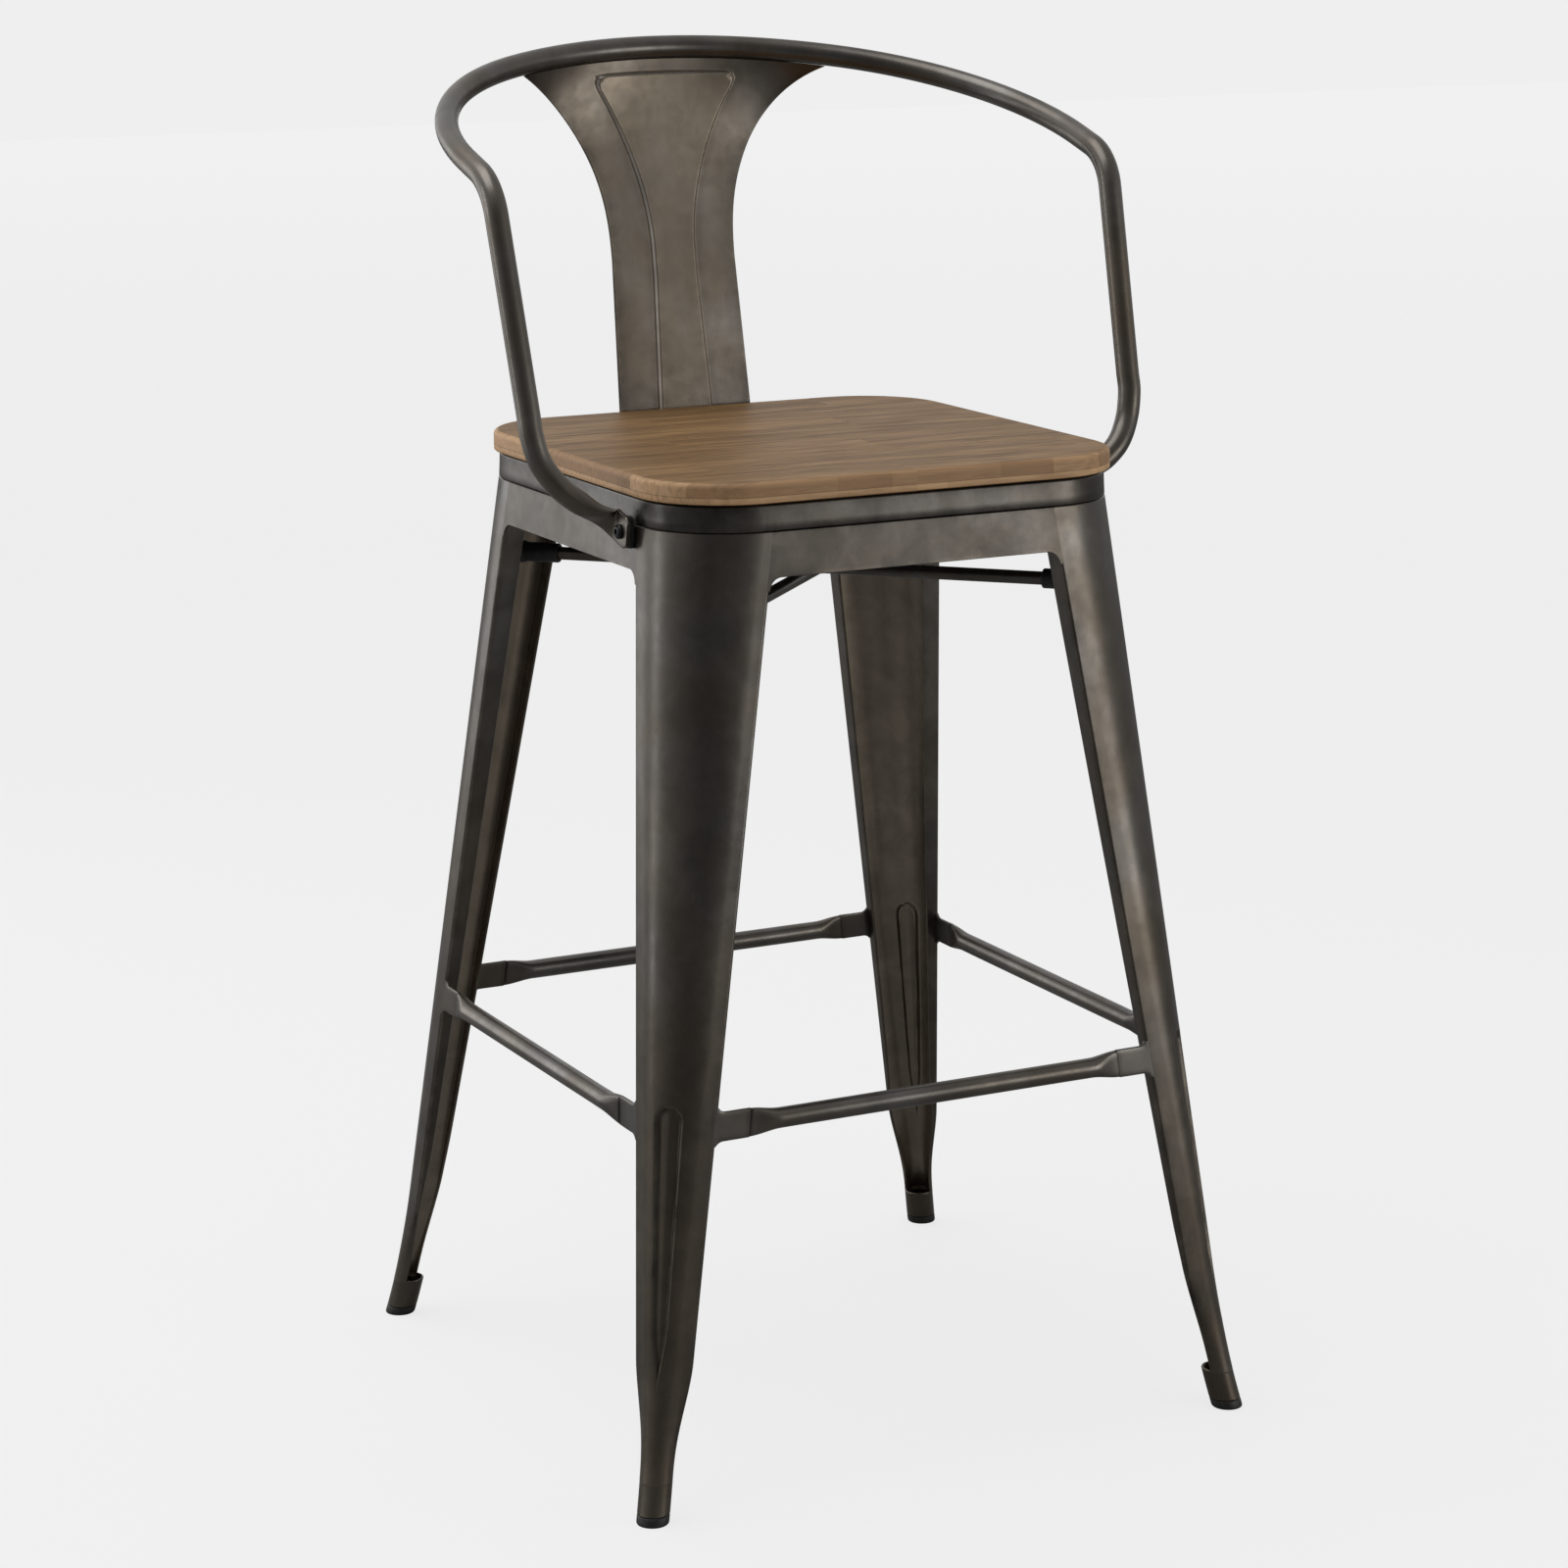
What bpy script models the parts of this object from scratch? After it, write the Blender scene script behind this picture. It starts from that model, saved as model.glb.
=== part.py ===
"""Bar stool with a footrest: a wooden seat on a pressed steel pan, four folded sheet
legs tied by aprons, cross braces and footrest rungs, and a bent tube hoop with a splat.

Metres, +Z up, floor at z = 0, the sitter faces -Y. The origin is the centre of the base."""

from math import asin, cos, pi, radians, sin, sqrt, tan

import bmesh
import bpy
from mathutils import Matrix, Vector

# ---- overall sizes
SEAT_HEIGHT = 0.765  # top of the wooden seat
SEAT_SIDE = 0.395  # wooden seat, side to side
FOOT_SPREAD = 0.532  # outside of one foot to outside of the next, at the floor
BACK_HEIGHT = 0.291  # hoop tube's centre at the back, above the seat
BACK_REACH = 0.240  # the same point, behind the stool's centre
ARM_SPREAD = 0.5304  # hoop tube, centre to centre across the arms

# ---- fits
FIT = 0.0003  # gap between pieces that touch
WOOD_GAP = 0.0012  # shadow gap between the wood and the pan
HOLE_PLAY = 0.0004  # radial play of a bolt in its hole

# ---- wooden seat
WOOD_THICKNESS = 0.016
WOOD_CORNER = 0.0706
WOOD_ROUND = 0.0038

# ---- seat pan
PAN_INSET = 0.0039  # wood's side to pan's side
PAN_SKIRT = 0.020
PAN_DRAFT = 0.0008  # how much the skirt spreads from top to bottom
PAN_CORNER = 0.069
PAN_SHEET = 0.0015
PAN_EDGE_ROUND = 0.002
LAP_DEPTH = 0.018  # tongue of the pan that goes down inside the aprons
LAP_GAP = 0.0009  # tongue to the legs' and aprons' inner faces

# ---- legs and aprons
SHEET = 0.002
APRON_DEPTH = 0.0337
APRON_FILLET = 0.0095
APRON_LAND = 0.001  # width of the fillet's lower tip
LEG_TOP_WIDTH = 0.0778  # leg's flange at the seam under the pan
LEG_CORNER = 0.0690  # leg's outer corner radius at the seam
LEG_BEND = 0.003  # radius where a flange turns into its lip
LEG_LIP = 0.0185  # lip at the seam, from the flange's outer face
LIP_STUB = 0.0035  # lip where it has faded out above the foot
LIP_FADE = (0.085, 0.20)
LEG_KICK = 0.0068  # how far the foot flares past the leg's straight line
KICK_HEIGHT = 0.10
HALF_ROUND = (0.040, 0.085)  # below the first height a leg is half a tube
HALF_ROUND_ARC = radians(200)

# ---- feet
FOOT_DIAMETER = 0.025
SOCKET_TOP = 0.032
SOCKET_OVERLAP = 0.0003
GLIDE_HEIGHT = 0.007
GLIDE_PLUG = 0.014
PLUG_PLAY = 0.0009  # plug to the socket's wall, all round

# ---- footrest rungs
RUNG_HEIGHT = 0.292
RUNG_DIAMETER = 0.0155
RUNG_FLAT_HEIGHT = 0.022
RUNG_FLAT_THICK = 0.0032
RUNG_FLAT_LENGTH = 0.027
RUNG_TAPER = 0.022

# ---- cross braces
BRACE_DROP = 0.108  # where the rods cross, below the seat's top
BRACE_ROD = 0.0105
BRACE_CROSS_GAP = 0.0005
SLEEVE_DIAMETER = 0.016
SLEEVE_LENGTH = 0.038
SLEEVE_SETBACK = 0.015  # leg's inner corner to the sleeve

# ---- hoop
HOOP_TUBE = 0.018
BOW_BACK_RADIUS = 0.3205
BOW_CORNER_RADIUS = 0.2206
BOW_TILT = radians(17.06)
ARM_FRONT = -0.026  # where the arm's line meets the post's line
ARM_BEND = 0.045
POST_LEAN = radians(15.3)
POST_SPLAY = radians(2.2)
POST_FOOT = 0.042  # post's lower end, above the seat
LUG_THICK = 0.0034
LUG_HEIGHT = 0.028
LUG_LENGTH = 0.029
LUG_TAPER = 0.034
LUG_LAP = 0.0143  # lug's front end, past the edge of the leg's flange
LUG_DROP = 0.043  # lug's centre, below the seat's top
PAD_THICK = 0.0034
PAD_MARGIN = 0.0012
PAD_SHORT = 0.007  # pad stops short of where the lug turns into tube

# ---- splat
SPLAT_SHEET = 0.002
SPLAT_WAIST = 0.110
SPLAT_TOP = 0.272
SPLAT_WAIST_RISE = 0.120  # waist, above the seat
SPLAT_TAPER = 0.066  # widening per metre below the waist
SPLAT_FLARE = 2.5
SPLAT_STRAIGHTEN = 0.33
SPLAT_TAIL = 0.065  # lower edge, below the seat's top
SPLAT_WRAP_RISE = 0.210  # above this the splat curls round to follow the bow
RIDGE_WAIST = 0.0446
RIDGE_TOP = 0.126
RIDGE_HEIGHT = 0.003
RIDGE_SLOPE = 0.0035

# ---- fasteners
BOLT_SHANK = 0.006
BOLT_HEAD = 0.011
BOLT_HEAD_HEIGHT = 0.0034
BOLT_SOCKET = 0.0045
NUT_WIDTH = 0.0105
NUT_THICK = 0.005
BOLT_TAIL = 0.0015  # thread past the nut
LUG_BOLT_BACK = 0.0215  # bolt behind the lug's front end
SPLAT_BOLT_SPACING = 0.060
SPLAT_BOLT_DROP = 0.048
SCREW_SHANK = 0.004
SCREW_HEAD = 0.009
SCREW_HEAD_HEIGHT = 0.0024
SCREW_LENGTH = 0.012
SCREW_SPREAD = 0.240

# ---- worked out from the above
SEAT_HALF = SEAT_SIDE / 2
WOOD_BOTTOM = SEAT_HEIGHT - WOOD_THICKNESS
PAN_TOP = WOOD_BOTTOM - WOOD_GAP
SEAM = PAN_TOP - PAN_SKIRT
PAN_HALF = SEAT_HALF - PAN_INSET
SEAM_HALF = PAN_HALF + PAN_DRAFT
FRAME_TOP = SEAM - FIT
APRON_BOTTOM = SEAM - APRON_DEPTH
FOOT_RADIUS = FOOT_DIAMETER / 2
STRAIGHT_FOOT_HALF = FOOT_SPREAD / 2 - LEG_KICK
LEG_SLOPE = (STRAIGHT_FOOT_HALF - SEAM_HALF) / SEAM
LAP_HALF = SEAM_HALF - SHEET - LAP_GAP
LAP_BOTTOM = SEAM - LAP_DEPTH
LUG_Z = SEAT_HEIGHT - LUG_DROP
SPLAT_BOLT_Z = SEAT_HEIGHT - SPLAT_BOLT_DROP
SPLAT_HANG = BACK_HEIGHT - HOOP_TUBE / 2 - 2 * FIT  # splat's upper edge, above the seat
CORNERS = {
    "front_left": (-1, -1),
    "front_right": (1, -1),
    "rear_left": (-1, 1),
    "rear_right": (1, 1),
}

for old in list(bpy.data.objects):
    bpy.data.objects.remove(old, do_unlink=True)


def new_collection(name, helper=False):
    collection = bpy.data.collections.new(name)
    bpy.context.scene.collection.children.link(collection)
    collection.hide_render = helper
    return collection


PARTS = new_collection("bar_stool")
CUTTERS = new_collection("cutters", helper=True)


def finish(name, colour, roughness, metallic):
    material = bpy.data.materials.new(name)
    material.use_nodes = True
    shader = material.node_tree.nodes["Principled BSDF"]
    shader.inputs["Base Color"].default_value = (*colour, 1)
    shader.inputs["Roughness"].default_value = roughness
    shader.inputs["Metallic"].default_value = metallic
    return material


STEEL = finish("gunmetal_steel", (0.115, 0.105, 0.095), 0.42, 0.85)
WOOD = finish("stained_wood", (0.24, 0.155, 0.085), 0.55, 0.0)
PLASTIC = finish("black_plastic", (0.012, 0.012, 0.013), 0.5, 0.0)
BLACK_STEEL = finish("black_oxide_steel", (0.02, 0.02, 0.022), 0.4, 0.9)


# ---- helpers


def add_object(name, mesh, material, smooth_angle=35, collection=None):
    """Links a mesh as a named sub-part, shaded smooth apart from its sharp edges."""
    if smooth_angle:
        mesh.shade_smooth()
        mesh.set_sharp_from_angle(angle=radians(smooth_angle))
    obj = bpy.data.objects.new(name, mesh)
    (collection or PARTS).objects.link(obj)
    if material:
        obj.data.materials.append(material)
    return obj


def mesh_from(bm, name):
    """The bmesh as a mesh with its faces turned outwards."""
    bmesh.ops.recalc_face_normals(bm, faces=bm.faces)
    mesh = bpy.data.meshes.new(name)
    bm.to_mesh(mesh)
    bm.free()
    return mesh


def loft(bm, rings, closed=True):
    """Quads between successive rings of equally many points. Returns the rings' vertices."""
    rows = [[bm.verts.new(point) for point in ring] for ring in rings]
    for lower, upper in zip(rows, rows[1:]):
        count = len(lower)
        for i in range(count if closed else count - 1):
            j = (i + 1) % count
            bm.faces.new((lower[i], lower[j], upper[j], upper[i]))
    return rows


def blend(low, high, value):
    """0 at low, 1 at high, easing in and out between them."""
    share = min(max((value - low) / (high - low), 0), 1)
    return share * share * (3 - 2 * share)


def cylinder(name, radius, length, centre, axis, material, sides=24, collection=None):
    """A closed cylinder around an axis through its centre."""
    bm = bmesh.new()
    bmesh.ops.create_cone(
        bm, cap_ends=True, segments=sides, radius1=radius, radius2=radius, depth=length
    )
    turn = Vector((0, 0, 1)).rotation_difference(Vector(axis)).to_matrix().to_4x4()
    obj = add_object(name, mesh_from(bm, name), material, collection=collection)
    obj.matrix_world = Matrix.Translation(centre) @ turn
    return obj


def cutter(name, radius, length, centre, axis):
    obj = cylinder(name, radius, length, centre, axis, None, sides=12, collection=CUTTERS)
    obj.hide_render = True
    obj.display_type = "WIRE"
    return obj


def cut(obj, *cutters):
    for tool in cutters:
        modifier = obj.modifiers.new(tool.name, "BOOLEAN")
        modifier.operation = "DIFFERENCE"
        modifier.object = tool


def rounded_square(half, radius, z, steps=6):
    """The points of a square with round corners, anticlockwise."""
    points = []
    quarters = {0: (1, 1), 90: (-1, 1), 180: (-1, -1), 270: (1, -1)}
    for start, (sx, sy) in quarters.items():
        for step in range(steps + 1):
            angle = radians(start + 90 * step / steps)
            x = sx * (half - radius) + radius * cos(angle)
            y = sy * (half - radius) + radius * sin(angle)
            points.append(Vector((x, y, z)))
    return points


# ---- the legs' outer faces, which the aprons, rungs, braces and feet also follow


def leg_half(z):
    """Half the distance between the outer faces of opposite legs at a height."""
    kick = LEG_KICK * max(1 - z / KICK_HEIGHT, 0) ** 2
    return STRAIGHT_FOOT_HALF - LEG_SLOPE * z + kick


def leg_width(z):
    return FOOT_DIAMETER + (LEG_TOP_WIDTH - FOOT_DIAMETER) * z / SEAM


def leg_corner(z):
    low = HALF_ROUND[0]
    return FOOT_RADIUS + (LEG_CORNER - FOOT_RADIUS) * max(z - low, 0) / (SEAM - low)


def leg_edge(z):
    """Distance from the centre plane to the inner edge of a leg's flange."""
    return leg_half(z) - leg_width(z)


# ---- wooden seat and its pan


def make_wood():
    bm = bmesh.new()
    size = Matrix.Diagonal((SEAT_SIDE, SEAT_SIDE, WOOD_THICKNESS, 1))
    middle = Matrix.Translation((0, 0, WOOD_BOTTOM + WOOD_THICKNESS / 2))
    bmesh.ops.create_cube(bm, size=1, matrix=middle @ size)
    upright = [e for e in bm.edges if abs(e.verts[0].co.z - e.verts[1].co.z) > WOOD_THICKNESS / 2]
    bmesh.ops.bevel(bm, geom=upright, offset=WOOD_CORNER, segments=7, profile=0.5, affect="EDGES")
    top = [e for e in bm.edges if min(v.co.z for v in e.verts) > SEAT_HEIGHT - WOOD_THICKNESS / 4]
    bmesh.ops.bevel(bm, geom=top, offset=WOOD_ROUND, segments=2, profile=0.5, affect="EDGES")
    return add_object("wood_seat", mesh_from(bm, "wood_seat"), WOOD)


def make_pan():
    """A tray turned upside down. Its skirt shows; a tongue goes on down inside the frame."""
    near, far = PAN_EDGE_ROUND * (1 - sin(pi / 4)), PAN_EDGE_ROUND * (1 - cos(pi / 4))
    profile = (
        (PAN_HALF - PAN_EDGE_ROUND, PAN_TOP),
        (PAN_HALF - near, PAN_TOP - far),
        (PAN_HALF, PAN_TOP - PAN_EDGE_ROUND),
        (SEAM_HALF, SEAM),
        (LAP_HALF, SEAM),
        (LAP_HALF, LAP_BOTTOM),
        (LAP_HALF - PAN_SHEET, LAP_BOTTOM),
        (LAP_HALF - PAN_SHEET, SEAM + PAN_SHEET),
        (LAP_HALF - PAN_SHEET, PAN_TOP - PAN_SHEET),
    )
    rings = []
    for half, z in profile:
        rings.append(rounded_square(half, PAN_CORNER - (SEAM_HALF - half), z, steps=5))
    bm = bmesh.new()
    rows = loft(bm, rings)
    bm.faces.new(rows[0])
    bm.faces.new(rows[-1])
    return add_object("seat_pan", mesh_from(bm, "seat_pan"), STEEL)


# ---- legs


def leg_section(z):
    """Outer points and outward normals of a leg's sheet at a height, for the +X +Y corner.

    The sheet runs lip, flange, round corner, flange, lip. Near the floor it turns into
    an arc of the foot's tube."""
    half, width, corner = leg_half(z), leg_width(z), leg_corner(z)
    lip = LIP_STUB + (LEG_LIP * z / SEAM - LIP_STUB) * blend(*LIP_FADE, z)
    places, normals = [Vector((half - width, half - lip))], [Vector((-1, 0))]

    def arc(centre, radius, start, end, steps):
        for step in range(steps + 1):
            angle = radians(start + (end - start) * step / steps)
            normal = Vector((cos(angle), sin(angle)))
            places.append(Vector(centre) + radius * normal)
            normals.append(normal)

    arc((half - width + LEG_BEND, half - LEG_BEND), LEG_BEND, 180, 90, 2)
    arc((half - corner, half - corner), corner, 90, 0, 6)
    arc((half - LEG_BEND, half - width + LEG_BEND), LEG_BEND, 0, -90, 2)
    places.append(Vector((half - lip, half - width)))
    normals.append(Vector((0, -1)))

    roundness = 1 - blend(*HALF_ROUND, z)
    centre = Vector((half - FOOT_RADIUS, half - FOOT_RADIUS))
    for i in range(len(places)):
        angle = pi / 4 + HALF_ROUND_ARC * (0.5 - i / (len(places) - 1))
        normal = Vector((cos(angle), sin(angle)))
        places[i] = places[i].lerp(centre + FOOT_RADIUS * normal, roundness)
        normals[i] = normals[i].lerp(normal, roundness).normalized()
    return places, normals


def make_leg(name, sx, sy):
    heights = (
        GLIDE_HEIGHT + FIT, 0.020, SOCKET_TOP, 0.045, 0.058, 0.071, 0.085,
        0.110, 0.150, 0.200, APRON_BOTTOM, FRAME_TOP,
    )
    rings = []
    for z in heights:
        places, normals = leg_section(z)
        outer = [Vector((p.x, p.y, z)) for p in places]
        inner = [Vector((p.x - SHEET * n.x, p.y - SHEET * n.y, z)) for p, n in zip(places, normals)]
        rings.append([Vector((sx * p.x, sy * p.y, p.z)) for p in outer + inner[::-1]])
    bm = bmesh.new()
    rows = loft(bm, rings)
    for row in (rows[0], rows[-1]):
        for i in range(len(row) // 2 - 1):
            bm.faces.new((row[i], row[i + 1], row[-2 - i], row[-1 - i]))
    leg = add_object(name, mesh_from(bm, name), STEEL)
    cut(leg, LIP_CUTTER)

    socket = make_socket(name + "_socket", sx, sy)
    join = leg.modifiers.new("socket", "BOOLEAN")
    join.operation = "UNION"
    join.object = socket
    return leg


def foot_ring(radius, z, sx, sy, sides=18):
    """A level ring of the foot's sloping tube."""
    centre = leg_half(z) - FOOT_RADIUS
    angles = [2 * pi * i / sides for i in range(sides)]
    return [Vector((sx * centre + radius * cos(a), sy * centre + radius * sin(a), z)) for a in angles]


def make_socket(name, sx, sy):
    """The closed ring at the leg's foot, which is joined to the leg."""
    outer = FOOT_RADIUS + SOCKET_OVERLAP
    inner = FOOT_RADIUS - SHEET - SOCKET_OVERLAP
    low, high = GLIDE_HEIGHT + FIT, SOCKET_TOP
    middle = (low + high) / 2
    bm = bmesh.new()
    path = [(outer, low), (outer, middle), (outer, high), (inner, high), (inner, middle), (inner, low)]
    rows = loft(bm, [foot_ring(radius, z, sx, sy) for radius, z in path])
    for i, vert in enumerate(rows[0]):
        j = (i + 1) % len(rows[0])
        bm.faces.new((vert, rows[0][j], rows[-1][j], rows[-1][i]))
    obj = add_object(name, mesh_from(bm, name), STEEL, collection=CUTTERS)
    obj.hide_render = True
    obj.display_type = "WIRE"
    return obj


def make_lip_cutter():
    """Clears the legs' lips above the arches, where the pan's tongue and the aprons sit."""
    clear = SHEET + FIT / 2
    low, high = APRON_BOTTOM + SHEET, SEAM + PAN_SKIRT
    rings = [rounded_square(leg_half(z) - clear, leg_corner(z) - clear, z) for z in (low, high)]
    bm = bmesh.new()
    rows = loft(bm, rings)
    bm.faces.new(rows[0])
    bm.faces.new(rows[1])
    obj = add_object("lip_clearance", mesh_from(bm, "lip_clearance"), None, 0, CUTTERS)
    obj.hide_render = True
    obj.display_type = "WIRE"
    return obj


def make_glide(name, sx, sy):
    """A black plug in the foot's socket, with a wide flat sole."""
    plug = FOOT_RADIUS - SHEET - SOCKET_OVERLAP - PLUG_PLAY
    sole = FOOT_RADIUS - 0.0008
    path = [(sole, 0), (FOOT_RADIUS, 0.001), (FOOT_RADIUS, GLIDE_HEIGHT), (plug, GLIDE_HEIGHT)]
    path.append((plug, GLIDE_HEIGHT + GLIDE_PLUG))
    bm = bmesh.new()
    rows = loft(bm, [foot_ring(radius, z, sx, sy) for radius, z in path])
    bm.faces.new(rows[0])
    bm.faces.new(rows[-1])
    return add_object(name, mesh_from(bm, name), PLASTIC)


# ---- aprons


def make_apron(name, turn):
    """A sloping plate between two legs, arched by a fillet at each end. turn puts it on its side."""
    slope = sqrt(1 + LEG_SLOPE**2)  # length along the plate for each metre of height
    tip = APRON_BOTTOM - APRON_FILLET
    centre = leg_edge(tip) - FIT - APRON_LAND - APRON_FILLET
    turns = [radians(15 * i) for i in range(7)]
    half_outline = [(centre + APRON_FILLET * sin(a), tip + APRON_FILLET * cos(a)) for a in turns]
    half_outline.append((leg_edge(tip) - FIT, tip))
    half_outline.append((leg_edge(FRAME_TOP) - FIT, FRAME_TOP))
    outline = half_outline + [(-u, z) for u, z in reversed(half_outline)]

    curve = bpy.data.curves.new(name, "CURVE")
    curve.dimensions = "2D"
    curve.fill_mode = "BOTH"
    curve.extrude = SHEET / 2
    spline = curve.splines.new("POLY")
    spline.points.add(len(outline) - 1)
    for point, (u, z) in zip(spline.points, outline):
        point.co = (u, (z - FRAME_TOP) * slope, 0, 1)
    spline.use_cyclic_u = True
    flat = bpy.data.objects.new(name + "_outline", curve)
    PARTS.objects.link(flat)
    bpy.context.view_layer.update()
    evaluated = flat.evaluated_get(bpy.context.evaluated_depsgraph_get())
    mesh = bpy.data.meshes.new_from_object(evaluated)
    bpy.data.objects.remove(flat, do_unlink=True)

    bm = bmesh.new()
    bm.from_mesh(mesh)
    bmesh.ops.remove_doubles(bm, verts=bm.verts, dist=1e-5)
    bm.to_mesh(mesh)
    bm.free()
    apron = add_object(name, mesh, STEEL)
    # upright and leaning with the legs, its outer face on the legs' outer faces
    lean = pi / 2 - LEG_SLOPE
    place = Matrix.Translation((0, -leg_half(FRAME_TOP) + SHEET / 2, FRAME_TOP - FIT))
    stand = place @ Matrix.Rotation(lean, 4, "X")
    apron.matrix_world = Matrix.Rotation(turn, 4, "Z") @ stand
    return apron


# ---- tubes with flattened ends


def flat_ring(centre, thin, tall, radius, flat_thick, flat_height, share, sides=10):
    """A round tube's ring, pressed by a share from 0 to 1 into a flat bar.

    thin and tall are the directions of the bar's thickness and height."""
    a = radius + (flat_thick / 2 - radius) * share
    b = radius + (flat_height / 2 - radius) * share
    power = 1 - 0.65 * share
    ring = []
    for i in range(sides):
        c, s = cos(2 * pi * i / sides), sin(2 * pi * i / sides)
        c = (1 if c > 0 else -1) * abs(c) ** power if abs(c) > 1e-9 else 0
        s = (1 if s > 0 else -1) * abs(s) ** power if abs(s) > 1e-9 else 0
        ring.append(Vector(centre) + thin * (a * c) + tall * (b * s))
    return ring


def make_rung(name, turn):
    """A footrest tube along X at the front, then turned about Z onto its side."""
    depth = -(leg_half(RUNG_HEIGHT) - RUNG_FLAT_THICK / 2)
    edge = leg_edge(RUNG_HEIGHT)
    flat_start = edge - RUNG_FLAT_LENGTH
    stations = [(edge, 1), (flat_start, 1), (flat_start - 0.001, 0.97)]
    stations += [(flat_start - RUNG_TAPER * s, 1 - blend(0, 1, s)) for s in (0.35, 0.55, 0.75, 1)]
    stations += [(-x, share) for x, share in reversed(stations)]
    thin, tall = Vector((0, -1, 0)), Vector((0, 0, 1))
    size = (RUNG_DIAMETER / 2, RUNG_FLAT_THICK, RUNG_FLAT_HEIGHT)
    rings = [flat_ring((x, depth, RUNG_HEIGHT), thin, tall, *size, share) for x, share in stations]
    # each end is cut to the slope of the leg's edge that it is welded to
    for ring, side in ((rings[0], 1), (rings[-1], -1)):
        for point in ring:
            point.x = side * (leg_edge(point.z) - FIT)
    bm = bmesh.new()
    rows = loft(bm, rings)
    bm.faces.new(rows[0])
    bm.faces.new(rows[-1])
    rung = add_object(name, mesh_from(bm, name), STEEL)
    rung.matrix_world = Matrix.Rotation(turn, 4, "Z")
    return rung


# ---- hoop


def post_line(z):
    """The hoop's post at a height, on the +X side."""
    z_corner = SEAT_HEIGHT + BACK_HEIGHT + (ARM_FRONT - BACK_REACH) * tan(BOW_TILT)
    down = z_corner - z
    return Vector((ARM_SPREAD / 2 - down * tan(POST_SPLAY), ARM_FRONT - down * tan(POST_LEAN), z))


def bow_point(x, back):
    """A point of the hoop's sloping plane, back metres along it in front of the rearmost point."""
    top = SEAT_HEIGHT + BACK_HEIGHT
    return Vector((x, BACK_REACH - back * cos(BOW_TILT), top - back * sin(BOW_TILT)))


def bow_sag(x):
    """How far the back arc has come forward, along the bow's plane, at x."""
    return BOW_BACK_RADIUS - sqrt(BOW_BACK_RADIUS**2 - x * x)


def round_corner(before, corner, after, radius, steps):
    """Points of an arc that rounds a corner between two straight runs."""
    a, b = (before - corner).normalized(), (after - corner).normalized()
    half = a.angle(b) / 2
    start, end = corner + a * radius / tan(half), corner + b * radius / tan(half)
    centre = corner + (a + b).normalized() * radius / sin(half)
    arm0, arm1 = start - centre, end - centre
    swing = arm0.angle(arm1)
    return [
        centre + (arm0 * sin(swing * (1 - k / steps)) + arm1 * sin(swing * k / steps)) / sin(swing)
        for k in range(steps + 1)
    ]


def smooth_through(points, steps):
    """A Catmull-Rom curve through the points, without its last one."""
    out = []
    padded = [2 * points[0] - points[1], *points, 2 * points[-1] - points[-2]]
    for p0, p1, p2, p3 in zip(padded, padded[1:], padded[2:], padded[3:]):
        for k in range(steps):
            t = k / steps
            a = 2 * p1 + (p2 - p0) * t
            b = (2 * p0 - 5 * p1 + 4 * p2 - p3) * t**2 + (3 * p1 - p0 - 3 * p2 + p3) * t**3
            out.append((a + b) / 2)
    return out


LUG_FRONT = -(leg_edge(LUG_Z) + LUG_LAP)


def lug_centre():
    """Distance of the lug's middle plane from the centre plane."""
    pad_face = leg_half(LUG_Z - LUG_HEIGHT / 2) + FIT
    return pad_face + PAD_THICK + FIT + LUG_THICK / 2


def hoop_path():
    """The hoop's centre line on the +X side, from the lug's front end to the rearmost point."""
    lug_x = lug_centre()
    foot = post_line(SEAT_HEIGHT + POST_FOOT)
    out = foot.x - lug_x
    lug_back = LUG_FRONT + LUG_LENGTH
    points = [
        Vector((lug_x, LUG_FRONT, LUG_Z)),
        Vector((lug_x, LUG_FRONT + 0.005, LUG_Z)),
        Vector((lug_x, LUG_FRONT + 0.015, LUG_Z)),
        Vector((lug_x, lug_back, LUG_Z + 0.001)),
        Vector((lug_x + 0.10 * out, lug_back + 0.004, LUG_Z + 0.0045)),
        Vector((lug_x + 0.34 * out, lug_back + 0.007, LUG_Z + 0.0135)),
        Vector((lug_x + 0.68 * out, lug_back + 0.010, LUG_Z + 0.0295)),
        Vector((lug_x + 0.90 * out, lug_back + 0.0185, LUG_Z + 0.050)),
        foot + (post_line(SEAT_HEIGHT) - foot) * 0.35,
        foot,
    ]
    path = smooth_through(points, 2)
    corner = post_line(bow_point(0, (BACK_REACH - ARM_FRONT) / cos(BOW_TILT)).z)
    swing = asin((ARM_SPREAD / 2 - BOW_CORNER_RADIUS) / (BOW_BACK_RADIUS - BOW_CORNER_RADIUS))
    inset = ARM_SPREAD / 2 - BOW_CORNER_RADIUS
    centre_back = BOW_BACK_RADIUS - (BOW_BACK_RADIUS - BOW_CORNER_RADIUS) * cos(swing)
    arm_end = bow_point(ARM_SPREAD / 2, centre_back)
    path += round_corner(foot, corner, arm_end, ARM_BEND, 5)
    for step in range(8):
        angle = pi / 2 - (pi / 2 - swing) * step / 7
        x = inset + BOW_CORNER_RADIUS * sin(angle)
        path.append(bow_point(x, centre_back - BOW_CORNER_RADIUS * cos(angle)))
    for step in range(1, 5):
        x = BOW_BACK_RADIUS * sin(swing * (1 - step / 4))
        path.append(bow_point(x, bow_sag(x)))
    return path


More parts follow.
